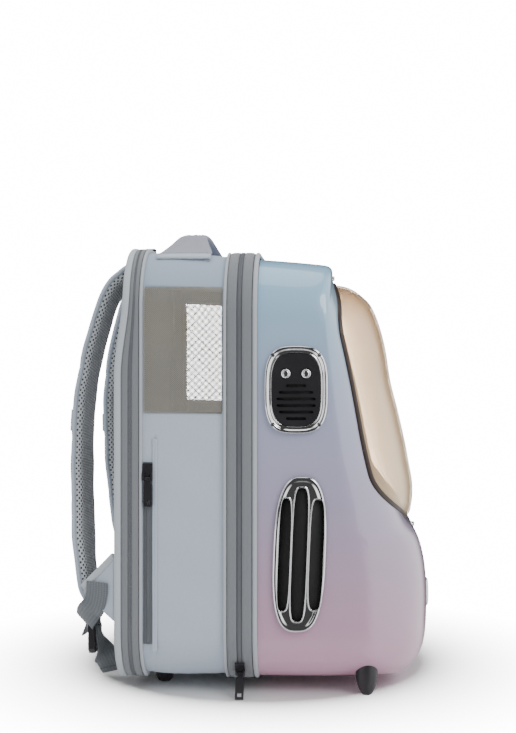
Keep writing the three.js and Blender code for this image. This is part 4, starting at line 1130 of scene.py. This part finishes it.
STRAP_FACE = half_section([
    (0, 6.6), (0.5, 6.5), (0.86, 6.2), (0.98, 5.4), (1.05, 3.8), (1.05, 1.6), (1.0, 0.6), (0, 0.5)])
STRAP_FOAM = half_section([
    (0, 2.3), (0.95, 2.3), (0.99, 1.2), (1.0, -1.0), (0.985, -3.0), (0.93, -4.7), (0.82, -5.6), (0.5, -6.0),
    (0, -6.1)])
STRAP_BAR = half_section([
    (0, 6.3), (0.9, 6.1), (0.99, 5.3), (1.0, 3.0), (0.97, 1.6), (0.94, 3.0), (0.86, 4.6), (0, 4.9)])
ACROSS = (1, 0, 0)


def strap(side_name, sign):
    """A padded strap: mesh over foam, a cloth face, two sewn seams and a bar of webbing across it."""
    count = 150
    line = strap_line(sign, count)
    widths = strap_widths(count)
    # A rounded end: the last rings draw in
    end_in = np.sqrt(np.clip(1 - (np.clip(np.linspace(0, 1, count) - 0.975, 0, 1) / 0.0265) ** 2, 0.05, 1))
    foam = ribbon(f"strap_foam_{side_name}", line, widths * end_in, STRAP_FOAM, ACROSS, rise=strap_wave)
    finish(foam, pad_mesh, replaced=[f"shoulder_strap_{side_name}"])
    face = ribbon(f"strap_face_{side_name}", line, (widths + 1.2) * end_in, STRAP_FACE, ACROSS,
                  rise=strap_wave)
    finish(face, cloth)
    along = np.gradient(line, axis=0)
    along /= np.linalg.norm(along, axis=1, keepdims=True)
    out = np.cross(ACROSS, along)
    for row, share in enumerate((-0.88, 0.88)):
        heights = np.array([strap_wave(i / (count - 1), share, 5.5) for i in range(count)])
        seam = line + np.array(ACROSS) * (share * widths / 2)[:, None] + out * heights[:, None]
        stitches(f"strap_seam_{side_name}_{row}", seam[3:-8], out[3:-8])
    bar_rows = [i for i in range(count) if 243 < line[i][2] < 264]
    bar = ribbon(f"strap_bar_{side_name}", line[bar_rows] + out[bar_rows] * 0.9, widths[bar_rows] + 3.4,
                 STRAP_BAR, ACROSS)
    finish(bar, webbing_pale)


WING_THICK = 3.2
WING_SECTION = (  # share of the height, share of the half thickness
    (0, 0.0), (0.03, 0.8), (0.12, 1.0), (0.5, 1.0), (0.88, 1.0), (0.97, 0.8), (1, 0.0),
    (0.97, -0.8), (0.88, -1.0), (0.5, -1.0), (0.12, -1.0), (0.03, -0.8),
)
WING_TOP_POINT = 6


def wing_ring(share, sign):
    """The wing's section at a share of its reach from the body."""
    low = 70.5 + 23.5 * share
    high = 132.5 - 32.5 * share
    ring = []
    for up, t in WING_SECTION:
        fold = 0.8 * math.sin(share * 5.0 + up * 4.0)
        x = 163.5 - 15 * share + t * WING_THICK / 2 + fold
        ring.append((sign * x, 125.2 + 32 * share, low + up * (high - low)))
    return np.array(ring)


def wing(side_name, sign):
    """A cloth wing with a bound upper hem."""
    rings = np.array([wing_ring(share, sign) for share in np.linspace(0, 1, 18)])
    piece = outward(sheet_grid(f"wing_cloth_{side_name}", rings, wrap_columns=True, caps=True))
    finish(piece, cloth, replaced=[f"wing_{side_name}"])
    lift = np.array([0, 0, 0.2])
    top = [wing_ring(share, sign)[WING_TOP_POINT] + lift for share in np.linspace(0.02, 1, 24)]
    hem = ribbon(f"wing_hem_{side_name}", top, 6.5, flat_section(2.3), (0, 0.3, 1))
    finish(hem, cloth_binding)


WEBBING_WIDTH = 24
WING_HEM, LOCK_FACE, LOCK_BAR = (156, 141.3, 116.55), (122, 156.3, 53.7), (122, 152.1, 60.9)
WEBBING_ROUTE = [  # share of the way from hem to buckle, then webbing widths outwards, back and up
    (0, 0.12, 0.05, -0.4), (0, 0.11, 0.07, -0.9), (0, -0.02, 0.2, -1.36), (0.5, 0.33, 0.17, -0.38),
    (0.75, 0.27, 0.25, -0.1), (0.9, 0.11, 0.13, 0), (1, 0, 0, 0),
]
TAIL_ROUTE = [  # over the buckle's bar and down
    (122, 156.1, 57.6), (122, 153.6, 61.0), (122, 150.4, 60.8), (122, 148.1, 57.0), (122, 147.9, 51.7),
    (119, 146.9, 41.7), (112, 144.9, 29.7), (100, 141.9, 17.7), (88, 138.9, 6.9),
]


def lower_webbing(side_name, sign):
    """Webbing from the wing over the buckle's bar, and its loose tail with a sewn fold."""
    def away(place):
        return np.array(place, float) * (sign, 1, 1)

    start, end = away(WING_HEM), away(LOCK_FACE)
    route = [start + (end - start) * share + away(offset) * WEBBING_WIDTH for share, *offset in WEBBING_ROUTE]
    route += [away(place) for place in TAIL_ROUTE]
    count = 190
    path = even(catmull(route, 14), count)
    way = np.linspace(0, 1, count)
    lock_way = way[int(np.linalg.norm(path - away(LOCK_BAR), axis=1).argmin())]
    wing_across = away((-15, 32, 0))
    wing_across /= np.linalg.norm(wing_across)
    turn_in = smoothstep(way, 0.4 * lock_way, lock_way * 0.95)[:, None]
    across = wing_across * (1 - turn_in) + np.array([-sign * 1.0, 0, 0]) * turn_in
    tail_share = np.clip((way - lock_way) / (1 - lock_way), 0, 1)
    angle = smoothstep(tail_share, 0.25, 0.8) * math.pi * 0.42
    tail_across = np.stack([-sign * np.cos(angle), -np.sin(angle), np.zeros(count)], axis=1)
    across = np.where((way > lock_way)[:, None], tail_across, across)
    band = ribbon(f"webbing_{side_name}", path, WEBBING_WIDTH, flat_section(0.95, 0.05), across)
    finish(band, webbing, replaced=[f"wing_webbing_{side_name}", f"webbing_tail_{side_name}"])
    end_rows = slice(count - 12, count - 1)
    fold = ribbon(f"tail_fold_{side_name}", path[end_rows], WEBBING_WIDTH + 0.4, flat_section(1.9, 0.05),
                  across[end_rows])
    finish(fold, webbing)


for side_name, sign in SIDES.items():
    strap(side_name, sign)
    wing(side_name, sign)
    lower_webbing(side_name, sign)


HANDLE_SPAN, HANDLE_BASE, HANDLE_GRIP, HANDLE_RISE, HANDLE_Y = 134, 51, 26, 22, 63
HANDLE_BASE_Z = 420.5
HALF_HANDLE = [  # along, rise, share of the width at the base, thickness
    (0, 1, 0, 7.8), (0.2, 0.98, 0, 7.4), (0.4, 0.87, 0.1, 5.4), (0.6, 0.47, 0.5, 3.4),
    (0.8, 0.07, 0.93, 2.6), (0.91, -0.08, 1, 2.4), (1, -0.3, 1, 2.2), (1.03, -0.375, 1, 2.2),
]
HANDLE_ROWS = [(-along, *rest) for along, *rest in reversed(HALF_HANDLE[1:])] + HALF_HANDLE
HANDLE_CREASES = ((-0.62, 1.3), (-0.18, 1.0), (0.3, 1.2), (0.68, 0.9))


def handle_piece():
    """A wide band of cloth, sewn down on both shoulders and rolled up at the grip."""
    rows = even(catmull(HANDLE_ROWS, 12) * [HANDLE_SPAN, HANDLE_RISE, 1, 1], 170)
    line = np.stack([rows[:, 0], np.full(len(rows), float(HANDLE_Y)), HANDLE_BASE_Z + rows[:, 1]], axis=1)
    widths = HANDLE_GRIP + (HANDLE_BASE - HANDLE_GRIP) * np.clip(rows[:, 2], 0, 1.02)
    section = [(math.cos(step / 44 * TAU), math.sin(step / 44 * TAU)) for step in range(44)]

    def rise(way, share, height):
        index = min(len(rows) - 1, int(round(way * (len(rows) - 1))))
        leg = float(np.clip(rows[index, 2], 0, 1))
        half_thick = rows[index, 3] / 2
        roll = 1 - min(1.0, leg * 1.3)
        full = math.copysign(abs(height) ** (0.28 + 0.55 * roll), height) if height else 0.0
        crease = 0
        for place, depth in HANDLE_CREASES:
            fan = place * (0.55 + 0.45 * leg)
            crease += depth * math.exp(-((share - fan) / 0.09) ** 2)
        lift = 1.2 * math.sin(share * 9 + way * 14) * leg * (1 - leg) * 3
        top = half_thick + half_thick * full
        return top - crease * (1 - 0.65 * leg) * (1 if height > 0 else 0.3) + lift * 0.5

    piece = ribbon("carry_handle_cloth", line, widths, section, (0, -1, 0), rise=rise)
    flat_uv(piece, 1, 0)
    finish(piece, handle_cloth, replaced=["carry_handle"])
    hem_section = [(share, height * 2.4 + 1.4) for share, height in flat_section(1, 0.0)]
    for name, rows_at in (("left", slice(0, 7)), ("right", slice(-7, None))):
        hem = ribbon(f"handle_hem_{name}", line[rows_at], HANDLE_BASE + 1.4, hem_section, (0, -1, 0))
        finish(hem, cloth)
    across = np.linspace(-HANDLE_BASE / 2 + 3, HANDLE_BASE / 2 - 3, 30)
    for name, end, share in (("left", -1, 0.06), ("right", 1, 0.94)):
        for row, shift in enumerate((0, 3)):
            x, _, z = line[int(len(line) * share) - end * shift]
            seam = np.stack([np.full(30, x), HANDLE_Y + across, np.full(30, z + 2.5)], axis=1)
            stitches(f"handle_seam_{name}_{row}", seam, (0.25 * end, 0, 1))


handle_piece()


# Back panel and its pads

def back_panel():
    """The flat back inside the binding."""
    rear_y, centre_z = BINDING[1] - 0.4, 218.0
    grow = -CLOTH_WALL - GAP
    rear = body_ring(rear_y, grow, 1)
    rings = [body_ring(BINDING[1] - 4.5, grow, 1)]
    for share in (1, 0.99, 0.9, 0.75, 0.55, 0.35, 0.15, 0.02):
        ring = rear.copy()
        ring[:, 0] *= share
        ring[:, 2] = centre_z + (ring[:, 2] - centre_z) * share
        ring[:, 1] = rear_y + rear_lean(ring[:, 2])
        rings.append(ring)
    piece = sheet_grid("back_panel_mesh", np.array(rings), wrap_columns=True, caps=True)
    flat_uv(outward(piece))
    finish(piece, tape_dark_and_shade, replaced=["back_panel"])


def pad_outline(bottom, top, count=240):
    half, corner = 126, 30
    points = []
    for x, z, turn in ((half - corner, top - corner, 0), (corner - half, top - corner, 1),
                       (corner - half, bottom + corner, 2), (half - corner, bottom + corner, 3)):
        for step in range(17):
            angle = (turn + step / 16) * math.pi / 2
            points.append((x + corner * math.cos(angle), z + corner * math.sin(angle)))
    return even(points, count, closed=True)


def back_pad(name, bottom, top, reach, channels, node):
    """A crowned pad whose sides pull in between its corners, with sewn channels."""
    outline = pad_outline(bottom, top)
    centre = np.array([0, (bottom + top) / 2])
    rings = []
    for share in (*np.linspace(1, 0.9, 9), *np.linspace(0.88, 0.04, 34)):
        place = centre + (outline - centre) * share
        pull = 1 - 0.02 * np.cos(np.arctan2(outline[:, 1] - centre[1], outline[:, 0]) * 4) * share
        place = centre + (place - centre) * np.stack([pull, pull], axis=1)
        crown = reach * (1 - share ** 7) ** 0.45
        for axis, at, width in channels:
            crown = crown - 4.6 * np.exp(-((place[:, axis] - at) / width) ** 2) * (1 - share ** 12)
        crown = crown + 0.5 * np.sin(place[:, 0] * 0.11 + place[:, 1] * 0.05) * (1 - share)
        y = BINDING[1] + 0.1 + rear_lean(place[:, 1]) + np.maximum(crown, 0)
        rings.append(np.stack([place[:, 0], y, place[:, 1]], axis=1))
    base = rings[0].copy()
    base[:, 1] = BINDING[1] - 0.6 + rear_lean(base[:, 2])
    piece = sheet_grid(name, np.array([base, *rings]), wrap_columns=True, caps=True)
    flat_uv(outward(piece))
    finish(piece, pad_mesh, replaced=[node])


back_panel()
back_pad("back_pad_top", 220, 386, 13, [(0, -42, 3.0), (0, 42, 3.0)], "back_pad_upper")
back_pad("back_pad_base", 27, 176, 10.5, [(0, 0, 3.0)], "back_pad_lower")


# Fittings on the shell's sides and front

def oval(middle, half, power, steps=120, lean=0.0):
    """An oval in YZ with evenly spaced points, whose top leans forwards."""
    points = []
    for step in range(steps * 2):
        c, s = superellipse(step / steps / 2 * TAU, power)
        y, z = half[0] * c, half[1] * s
        points.append((middle[0] + y - lean * z, middle[1] + z))
    return even(points, steps, closed=True)


def side_stack(name, sign, slices, looped=False):
    """Outlines stacked outwards from the flat side: (height, outline) slices."""
    rows = [[(sign * (HALF_WIDTH + height), y, z) for y, z in outline] for height, outline in slices]
    return outward(sheet_grid(name, np.array(rows), wrap_rows=looped, wrap_columns=True, caps=not looped))


def turned(name, profile, place, axis, steps=48, ticks=0, depth=0.0):
    """A turned piece: (radius, height) rows about an axis through place, with ticks cut into its rim."""
    place, axis = np.asarray(place), np.asarray(axis, float)
    side = np.cross(axis, [0.3, 0.5, 0.8])
    side /= np.linalg.norm(side)
    other = np.cross(axis, side)
    rows = []
    for radius, height in profile:
        ring = []
        for step in range(steps):
            angle = step / steps * TAU
            dip = 0
            if ticks and radius > 0.7 * profile[1][0]:
                dip = depth * (0.5 + 0.5 * math.cos(ticks * angle))
            way = side * math.cos(angle) + other * math.sin(angle)
            ring.append(place + axis * height + way * (radius - dip))
        rows.append(ring)
    return outward(sheet_grid(name, np.array(rows), wrap_columns=True, caps=True))


def carve(piece, cutter):
    """Cuts the cutter out of the piece and removes the cutter. The cut's walls are painted near black: painted
    shade in the recess.
    """
    boolean(piece, mark(cutter, black_and_recess_shade))
    remove(cutter)


BOX_FACES = [(0, 1, 3, 2), (4, 6, 7, 5), (0, 4, 5, 1), (2, 3, 7, 6), (0, 2, 6, 4), (1, 5, 7, 3)]


def screw_head(name, place, axis, radius, height, replaced):
    """A domed screw head with a cross recess."""
    head = mark(turned(name, [
        (radius * 0.2, -0.4), (radius, -0.4), (radius, 0.45 * height), (radius * 0.94, 0.75 * height),
        (radius * 0.75, 0.95 * height), (radius * 0.4, height), (radius * 0.05, height),
    ], place, axis, 28), chrome)
    axis = np.asarray(axis, float)
    centre = np.asarray(place) + axis * height
    up = np.array([0, 0, 1.0])
    level = np.cross(axis, up)
    # The cross recess's walls are painted near black: painted shade.
    for along, other in ((up, level), (level, up)):
        verts = [centre + along * i * radius * 0.6 + other * j * radius * 0.13 + axis * k * height * 0.45
                 for i in (-1, 1) for j in (-1, 1) for k in (-1, 1)]
        carve(head, outward(new_object("cross", verts, BOX_FACES)))
    sharpen(head, 30)
    finish(head, replaced=replaced)


GRILLE, GRILLE_HALF, BEZEL_WIDTH, BEZEL_PROUD, PLATE = (-46, 289), (29.7, 41), 6.8, 4.2, 2.7
BEZEL_PROFILE = [  # rise, inset
    (0, 0), (0.3, 0), (0.55, 0.015), (0.78, 0.07), (0.93, 0.16), (1, 0.27), (0.96, 0.38), (0.8, 0.49),
    (0.62, 0.58), (0.52, 0.68), (0.55, 0.79), (0.66, 0.87), (0.68, 0.93), (0.58, 0.98), (0.3, 1), (0, 1),
]
GRILLE_SLOTS = ((0.6, 9.4), (-0.4, 16.2), (-1.4, 18.5), (-2.4, 18.5), (-3.4, 16.2), (-4.4, 9.3))
GRILLE_SLOT_STEP, GRILLE_SLOT_HALF = 6.1, 1.45
BUTTON_APART, BUTTON_UP = 9.5, 15
BUTTON_PROFILE = [  # radius, height
    (0.3, 0.6), (4.5, 0.6), (4.6, 1.6), (4.55, 2.3), (4.3, 2.75), (3.9, 2.9), (3.55, 2.75), (3.35, 2.35),
    (3.1, 2.3), (2.9, 2.6), (2.4, 2.95), (1.5, 3.15), (0.2, 3.2),
]


def grille(side_name, sign):
    """A chrome bezel round a slotted black plate, with button wells on the left and four screws."""
    def outline(inset):
        return oval(GRILLE, (GRILLE_HALF[0] - inset, GRILLE_HALF[1] - inset), 3.2)

    bezel = side_stack(f"grille_ring_{side_name}", sign, [
        (GAP + rise * BEZEL_PROUD, outline(inset * BEZEL_WIDTH)) for rise, inset in BEZEL_PROFILE
    ], looped=True)
    finish(bezel, chrome, replaced=[f"grille_bezel_{side_name}"])
    # A near-black disc under the plate: painted shade that shows through the slots.
    well = outline(BEZEL_WIDTH - 0.5)
    back = side_stack(f"grille_shade_disc_{side_name}", sign, [(0.1, well), (0.7, well)])
    finish(back, black_and_recess_shade)
    face = outline(BEZEL_WIDTH + 0.2)
    plate = mark(side_stack(f"grille_face_{side_name}", sign, [
        (0.8, face), (GAP + PLATE - 0.4, face), (GAP + PLATE, outline(BEZEL_WIDTH + 0.6))]), black_plastic)
    # The slots' and button wells' walls are painted near black: painted shade.
    for place, half in GRILLE_SLOTS:
        slot = oval((GRILLE[0], GRILLE[1] + place * GRILLE_SLOT_STEP), (half, GRILLE_SLOT_HALF), 5, 40)
        carve(plate, side_stack("slot", sign, [(0.0, slot), (6.0, slot)]))
    if sign < 0:
        for side in (-1, 1):
            middle = (-HALF_WIDTH, GRILLE[0] + side * BUTTON_APART, GRILLE[1] + BUTTON_UP)
            carve(plate, turned("well", [(0.1, -1), (5.0, -1), (5.0, 6), (0.1, 6)], middle, (-1, 0, 0), 40))
    sharpen(plate, 30)
    finish(plate, replaced=[f"grille_plate_{side_name}"])
    for index, (across, up) in enumerate([(-1, -1), (-1, 1), (1, -1), (1, 1)]):
        place = (sign * (HALF_WIDTH + 2.2), GRILLE[0] + across * 0.945 * 22.9, GRILLE[1] + up * 0.945 * 34.2)
        screw_head(f"grille_bolt_{index + 1}_{side_name}", place, (sign, 0, 0), 2.2, 2.5,
                   [f"grille_screw_{index + 1}_{side_name}"])


for side_name, sign in SIDES.items():
    grille(side_name, sign)
for place, side in (("rear", 1), ("front", -1)):
    middle = (-HALF_WIDTH - 1.3, GRILLE[0] + side * BUTTON_APART, GRILLE[1] + BUTTON_UP)
    button = turned(f"{place}_button_head", BUTTON_PROFILE, middle, (-1, 0, 0), 96, ticks=24, depth=0.35)
    sharpen(button, 50)
    finish(button, chrome, body=f"{place}_button", replaced=[f"push_button_{place}"])


VENT, VENT_HALF, VENT_LEAN = (-49.2, 136), (24.6, 72.3), 0.04
VENT_SLOTS = ((0.575, 5.35, 52), (0, 6.8, 62), (-0.64, 6.15, 51))
VENT_SEAT, VENT_RISE, VENT_RIM = 1.6, 3.4, 6
VENT_PROFILE = [  # rise, inset
    (0, 0), (0.35, 0), (0.6, 0.02), (0.82, 0.1), (0.95, 0.22), (1, 0.36), (0.97, 0.5), (0.86, 0.66),
    (0.7, 0.82), (0.6, 1.0), (0.58, 1.2),
]
LIP_PROFILE = [  # rise, distance from the slot's edge
    (0.35, 0.1), (0.8, 0.05), (0.98, 0.2), (1.02, 0.6), (0.95, 1.0), (0.78, 1.4), (0.56, 1.7), (0.35, 1.7),
]


def vent(side_name, sign):
    """A chrome frame with three slots over a dark back, and a raised lip round each slot."""
    def outline(inset):
        return oval(VENT, (VENT_HALF[0] - inset, VENT_HALF[1] - inset), 2.9, 160, VENT_LEAN)

    def edge(place, half_y, half_z, grow):
        middle = (VENT[0] + place * VENT_HALF[0], VENT[1])
        return oval(middle, (half_y + grow, half_z + grow), 4.2, 120, VENT_LEAN)

    back = side_stack(f"vent_well_{side_name}", sign, [(0.2, outline(1.6)), (1.5, outline(1.6))])
    finish(back, black_and_recess_shade, replaced=[f"vent_backing_{side_name}"])
    plate = mark(side_stack(f"vent_face_{side_name}", sign, [
        (VENT_SEAT + rise * VENT_RISE, outline(inset * VENT_RIM)) for rise, inset in VENT_PROFILE]), chrome)
    lips = []
    # Each slot's cut walls are painted near black: painted shade.
    for slot in VENT_SLOTS:
        carve(plate, side_stack("slot", sign, [(0.0, edge(*slot, 0.2)), (9.0, edge(*slot, 0.2))]))
        lips.append(side_stack("lip", sign, [
            (VENT_SEAT + rise * VENT_RISE, edge(*slot, grow)) for rise, grow in LIP_PROFILE], looped=True))
    sharpen(plate, 30)
    finish(plate, replaced=[f"vent_frame_{side_name}"])
    finish(join(f"vent_lips_{side_name}", lips), chrome)


for side_name, sign in SIDES.items():
    vent(side_name, sign)

badge = turned("badge_plain", [
    (1, -4), (15.4, -4), (15.5, 3.6), (15.3, 4.4), (14.6, 5.8), (13.6, 6.7), (12.8, 7), (11.2, 7),
    (10.6, 6.8), (9.6, 5.6), (8.6, 3.6), (8, 2.8), (7.2, 2.5), (0.5, 2.6),
], (0, -173.1, 72.5), (0, -1, 0), 72)
finish(badge, chrome, replaced=["front_badge"])

PEG_RADIUS, PEG_HEIGHT, REST_RADIUS, REST_HEIGHT = 10.5, 16.8, 10, 13.7
PEG = [
    (0.2, 0), (0.36, 0), (0.4, 0.03), (0.55, 0.12), (0.72, 0.33), (0.85, 0.55), (0.94, 0.78), (1, 1),
    (1, 1.8), (0.1, 1.8),
]
REST = [(0.05, 0), (0.5, 0), (0.58, 0.04), (0.74, 0.16), (0.87, 0.4), (0.96, 0.75), (1, 1), (0.2, 1)]
for side_name, sign in SIDES.items():
    peg = mark(turned(f"front_peg_{side_name}", [(r * PEG_RADIUS, h * PEG_HEIGHT) for r, h in PEG],
                      (sign * 140, -112.1, 0), (0, 0, 1)), black_plastic)
    boolean(peg, shell_solid)
    sharpen(peg, 40)
    finish(peg, replaced=[f"front_foot_{side_name}"])
    rest = turned(f"rear_rest_{side_name}", [(r * REST_RADIUS, h * REST_HEIGHT) for r, h in REST],
                  (sign * 100, 86, 0), (0, 0, 1))
    finish(rest, black_plastic, replaced=[f"rear_foot_{side_name}"])
remove(shell_solid)


# Pocket zip on the left side

def side_strip(name, y0, y1, z0, z1, height, paint, replaced=()):
    zs = np.linspace(z0, z1, 60)
    rows = []
    for share, lift in ((0, 0.0), (0.02, 0.9), (0.1, 1.0), (0.9, 1.0), (0.98, 0.9), (1, 0.0)):
        y = y0 + share * (y1 - y0)
        rows.append([(-(HALF_WIDTH + lift * height + float(cloth_grow(y, z))), y, z) for z in zs])
    piece = sheet_grid(name, np.array(rows))
    finish(piece, paint, replaced=replaced)


def coil_strip(name, y, z0, z1, height, half_width=1.7, pitch=1.5):
    """A straight row of coil turns on the cloth's left side."""
    zs = np.linspace(z0, z1, int((z1 - z0) / pitch) * 4)
    rows = []
    for across, lift in coil_rows(len(zs)):
        grow = height + lift + cloth_grow(y, zs)
        rows.append(np.stack([-(HALF_WIDTH + grow), np.full(len(zs), y + across * half_width), zs], axis=1))
    coil_piece(name, rows, wrap=False)


side_strip("pocket_tape", 88, 97.4, 50.5, 221, 0.8, tape_pocket, replaced=["pocket_zip_tape"])
coil_strip("pocket_coil", 92.7, 52, 208, 1.0)
side_strip("pocket_flap_edge", 84.2, 88.6, 44, 243, 1.4, cloth)
flap_line = [(-(HALF_WIDTH + 1.5 + float(cloth_grow(86.0, z))), 86.0, z) for z in np.linspace(46, 242, 90)]
stitches("pocket_stitches", flap_line, (-1, 0, 0))


# Finishes for the model's own rigid nodes

BY_SLOT = {"chrome": chrome, "black_plastic": black_plastic}
slots_of = {entry["node"]: entry["material_slot"] for entry in frame["record"]["subparts"]}
for node_name, node in NODES.items():
    if node.hide_render:
        continue
    node.data.materials.clear()
    node.data.materials.append(BY_SLOT[slots_of[node_name]])
    edge = node.modifiers.new("edge", "BEVEL")
    edge.width = 0.0004
    edge.segments = 2
    edge.limit_method = "ANGLE"
    edge.angle_limit = math.radians(35)
    edge.harden_normals = False


# Floor, light and camera

def floor():
    verts = [(-6, -6, 0), (6, -6, 0), (6, 6, 0), (-6, 6, 0)]
    mesh = bpy.data.meshes.new("studio_floor")
    mesh.from_pydata(verts, [], [(0, 1, 2, 3)])
    ground = bpy.data.objects.new("studio_floor", mesh)
    bpy.context.scene.collection.objects.link(ground)
    paint = Paint("floor_gloss", (0.9, 0.9, 0.91), 0.05, IOR=2.1)
    haze = paint.noise(3, 2.0)
    paint.rough(paint.remap(haze, 0.3, 0.7, 0.04, 0.07))
    paint.color(paint.blend(paint.remap(haze, 0.3, 0.7, 0.0, 0.1), (0.93, 0.93, 0.94), (0.9, 0.9, 0.92)))
    # The floor thins out to nothing away from the carrier, where the white surroundings show instead
    x, y, _ = paint.axes("Object")
    square = paint.math("ADD", paint.math("MULTIPLY", x, x), paint.math("MULTIPLY", y, y))
    fade = paint.remap(paint.math("SQRT", square), 0.17, 0.36)
    clear = paint.node("BsdfTransparent")
    paint.mixed_surface(fade, paint.shader.outputs[0], clear.outputs[0])
    mesh.materials.append(paint.material)


def area_light(name, place, target, size, power):
    data = bpy.data.lights.new(name, "AREA")
    data.shape = "RECTANGLE"
    data.size, data.size_y = size
    data.energy = power
    lamp = bpy.data.objects.new(name, data)
    bpy.context.scene.collection.objects.link(lamp)
    lamp.location = place
    lamp.rotation_mode = "QUATERNION"
    lamp.rotation_quaternion = (Vector(target) - Vector(place)).to_track_quat("-Z", "Y")


def flag(name, corners, level):
    """A dark card that only reflections see."""
    mesh = bpy.data.meshes.new(name)
    mesh.from_pydata(corners, [], [(0, 1, 2, 3)])
    card = bpy.data.objects.new(name, mesh)
    bpy.context.scene.collection.objects.link(card)
    paint = Paint(name, (level, level, level), 0.9)
    mesh.materials.append(paint.material)
    card.visible_camera = False
    card.visible_diffuse = False
    card.visible_shadow = False


floor()
world = bpy.data.worlds.new("studio")
world.use_nodes = True
sky = world.node_tree.nodes["Background"]
sky.inputs[0].default_value = (1, 1, 1, 1)


def sky_node(kind, *values, **settings):
    """A world node whose first inputs are numbers, vectors or other nodes' outputs."""
    node = world.node_tree.nodes.new("ShaderNode" + kind)
    for key, value in settings.items():
        setattr(node, key, value)
    for index, value in enumerate(values):
        if isinstance(value, (int, float, tuple)):
            node.inputs[index].default_value = value
        else:
            world.node_tree.links.new(value, node.inputs[index])
    return node


# Reflections see tall white softboxes at both ends of the carrier and a dark studio elsewhere
rays = sky_node("LightPath")
view_way = sky_node("TexCoord").outputs["Generated"]
ends = sky_node("VectorMath", view_way, (0.0, 1.0, 0.0), operation="DOT_PRODUCT").outputs["Value"]
ends = sky_node("Math", ends, operation="ABSOLUTE").outputs[0]
dark_side = sky_node("MapRange", ends, 0.42, 0.62, 0.06, 1.7).outputs[0]
plain_light = sky_node("Mix", rays.outputs["Is Glossy Ray"])
plain_light.inputs[2].default_value = 1.0
world.node_tree.links.new(dark_side, plain_light.inputs[3])
seen = sky_node("Mix", rays.outputs["Is Camera Ray"])
world.node_tree.links.new(plain_light.outputs[0], seen.inputs[2])
seen.inputs[3].default_value = 16.0
world.node_tree.links.new(seen.outputs[0], sky.inputs[1])
bpy.context.scene.world = world
area_light("key", (-1.6, -1.5, 1.9), (0, 0, 0.25), (1.2, 1.2), 28)
area_light("top", (0.1, 0.2, 2.2), (0, 0, 0.2), (1.6, 1.6), 16)
flag("flag_low", [(-3.0, -2.5, 0.02), (-3.0, 2.5, 0.02), (-3.0, 2.5, 0.22), (-3.0, -2.5, 0.22)], 0.03)
flag("flag_rear", [(-2.2, 1.6, 0.0), (-1.2, 2.4, 0.0), (-1.2, 2.4, 1.6), (-2.2, 1.6, 1.6)], 0.05)

DISTANCE, CAMERA_Y, CAMERA_HEIGHT, TURN = 1297.4, -82.1, 310.6, math.radians(3.62)
camera_data = bpy.data.cameras.new("photo_camera")
camera = bpy.data.objects.new("photo_camera", camera_data)
bpy.context.scene.collection.objects.link(camera)
camera.location = Vector((np.array([-DISTANCE, CAMERA_Y, CAMERA_HEIGHT]) + SHIFT) * MM)
camera.rotation_mode = "QUATERNION"
camera.rotation_quaternion = Vector((math.cos(TURN), math.sin(TURN), 0)).to_track_quat("-Z", "Y")
camera_data.sensor_width = 36
camera_data.sensor_fit = "AUTO"
camera_data.lens = 59.75
bpy.context.scene.camera = camera
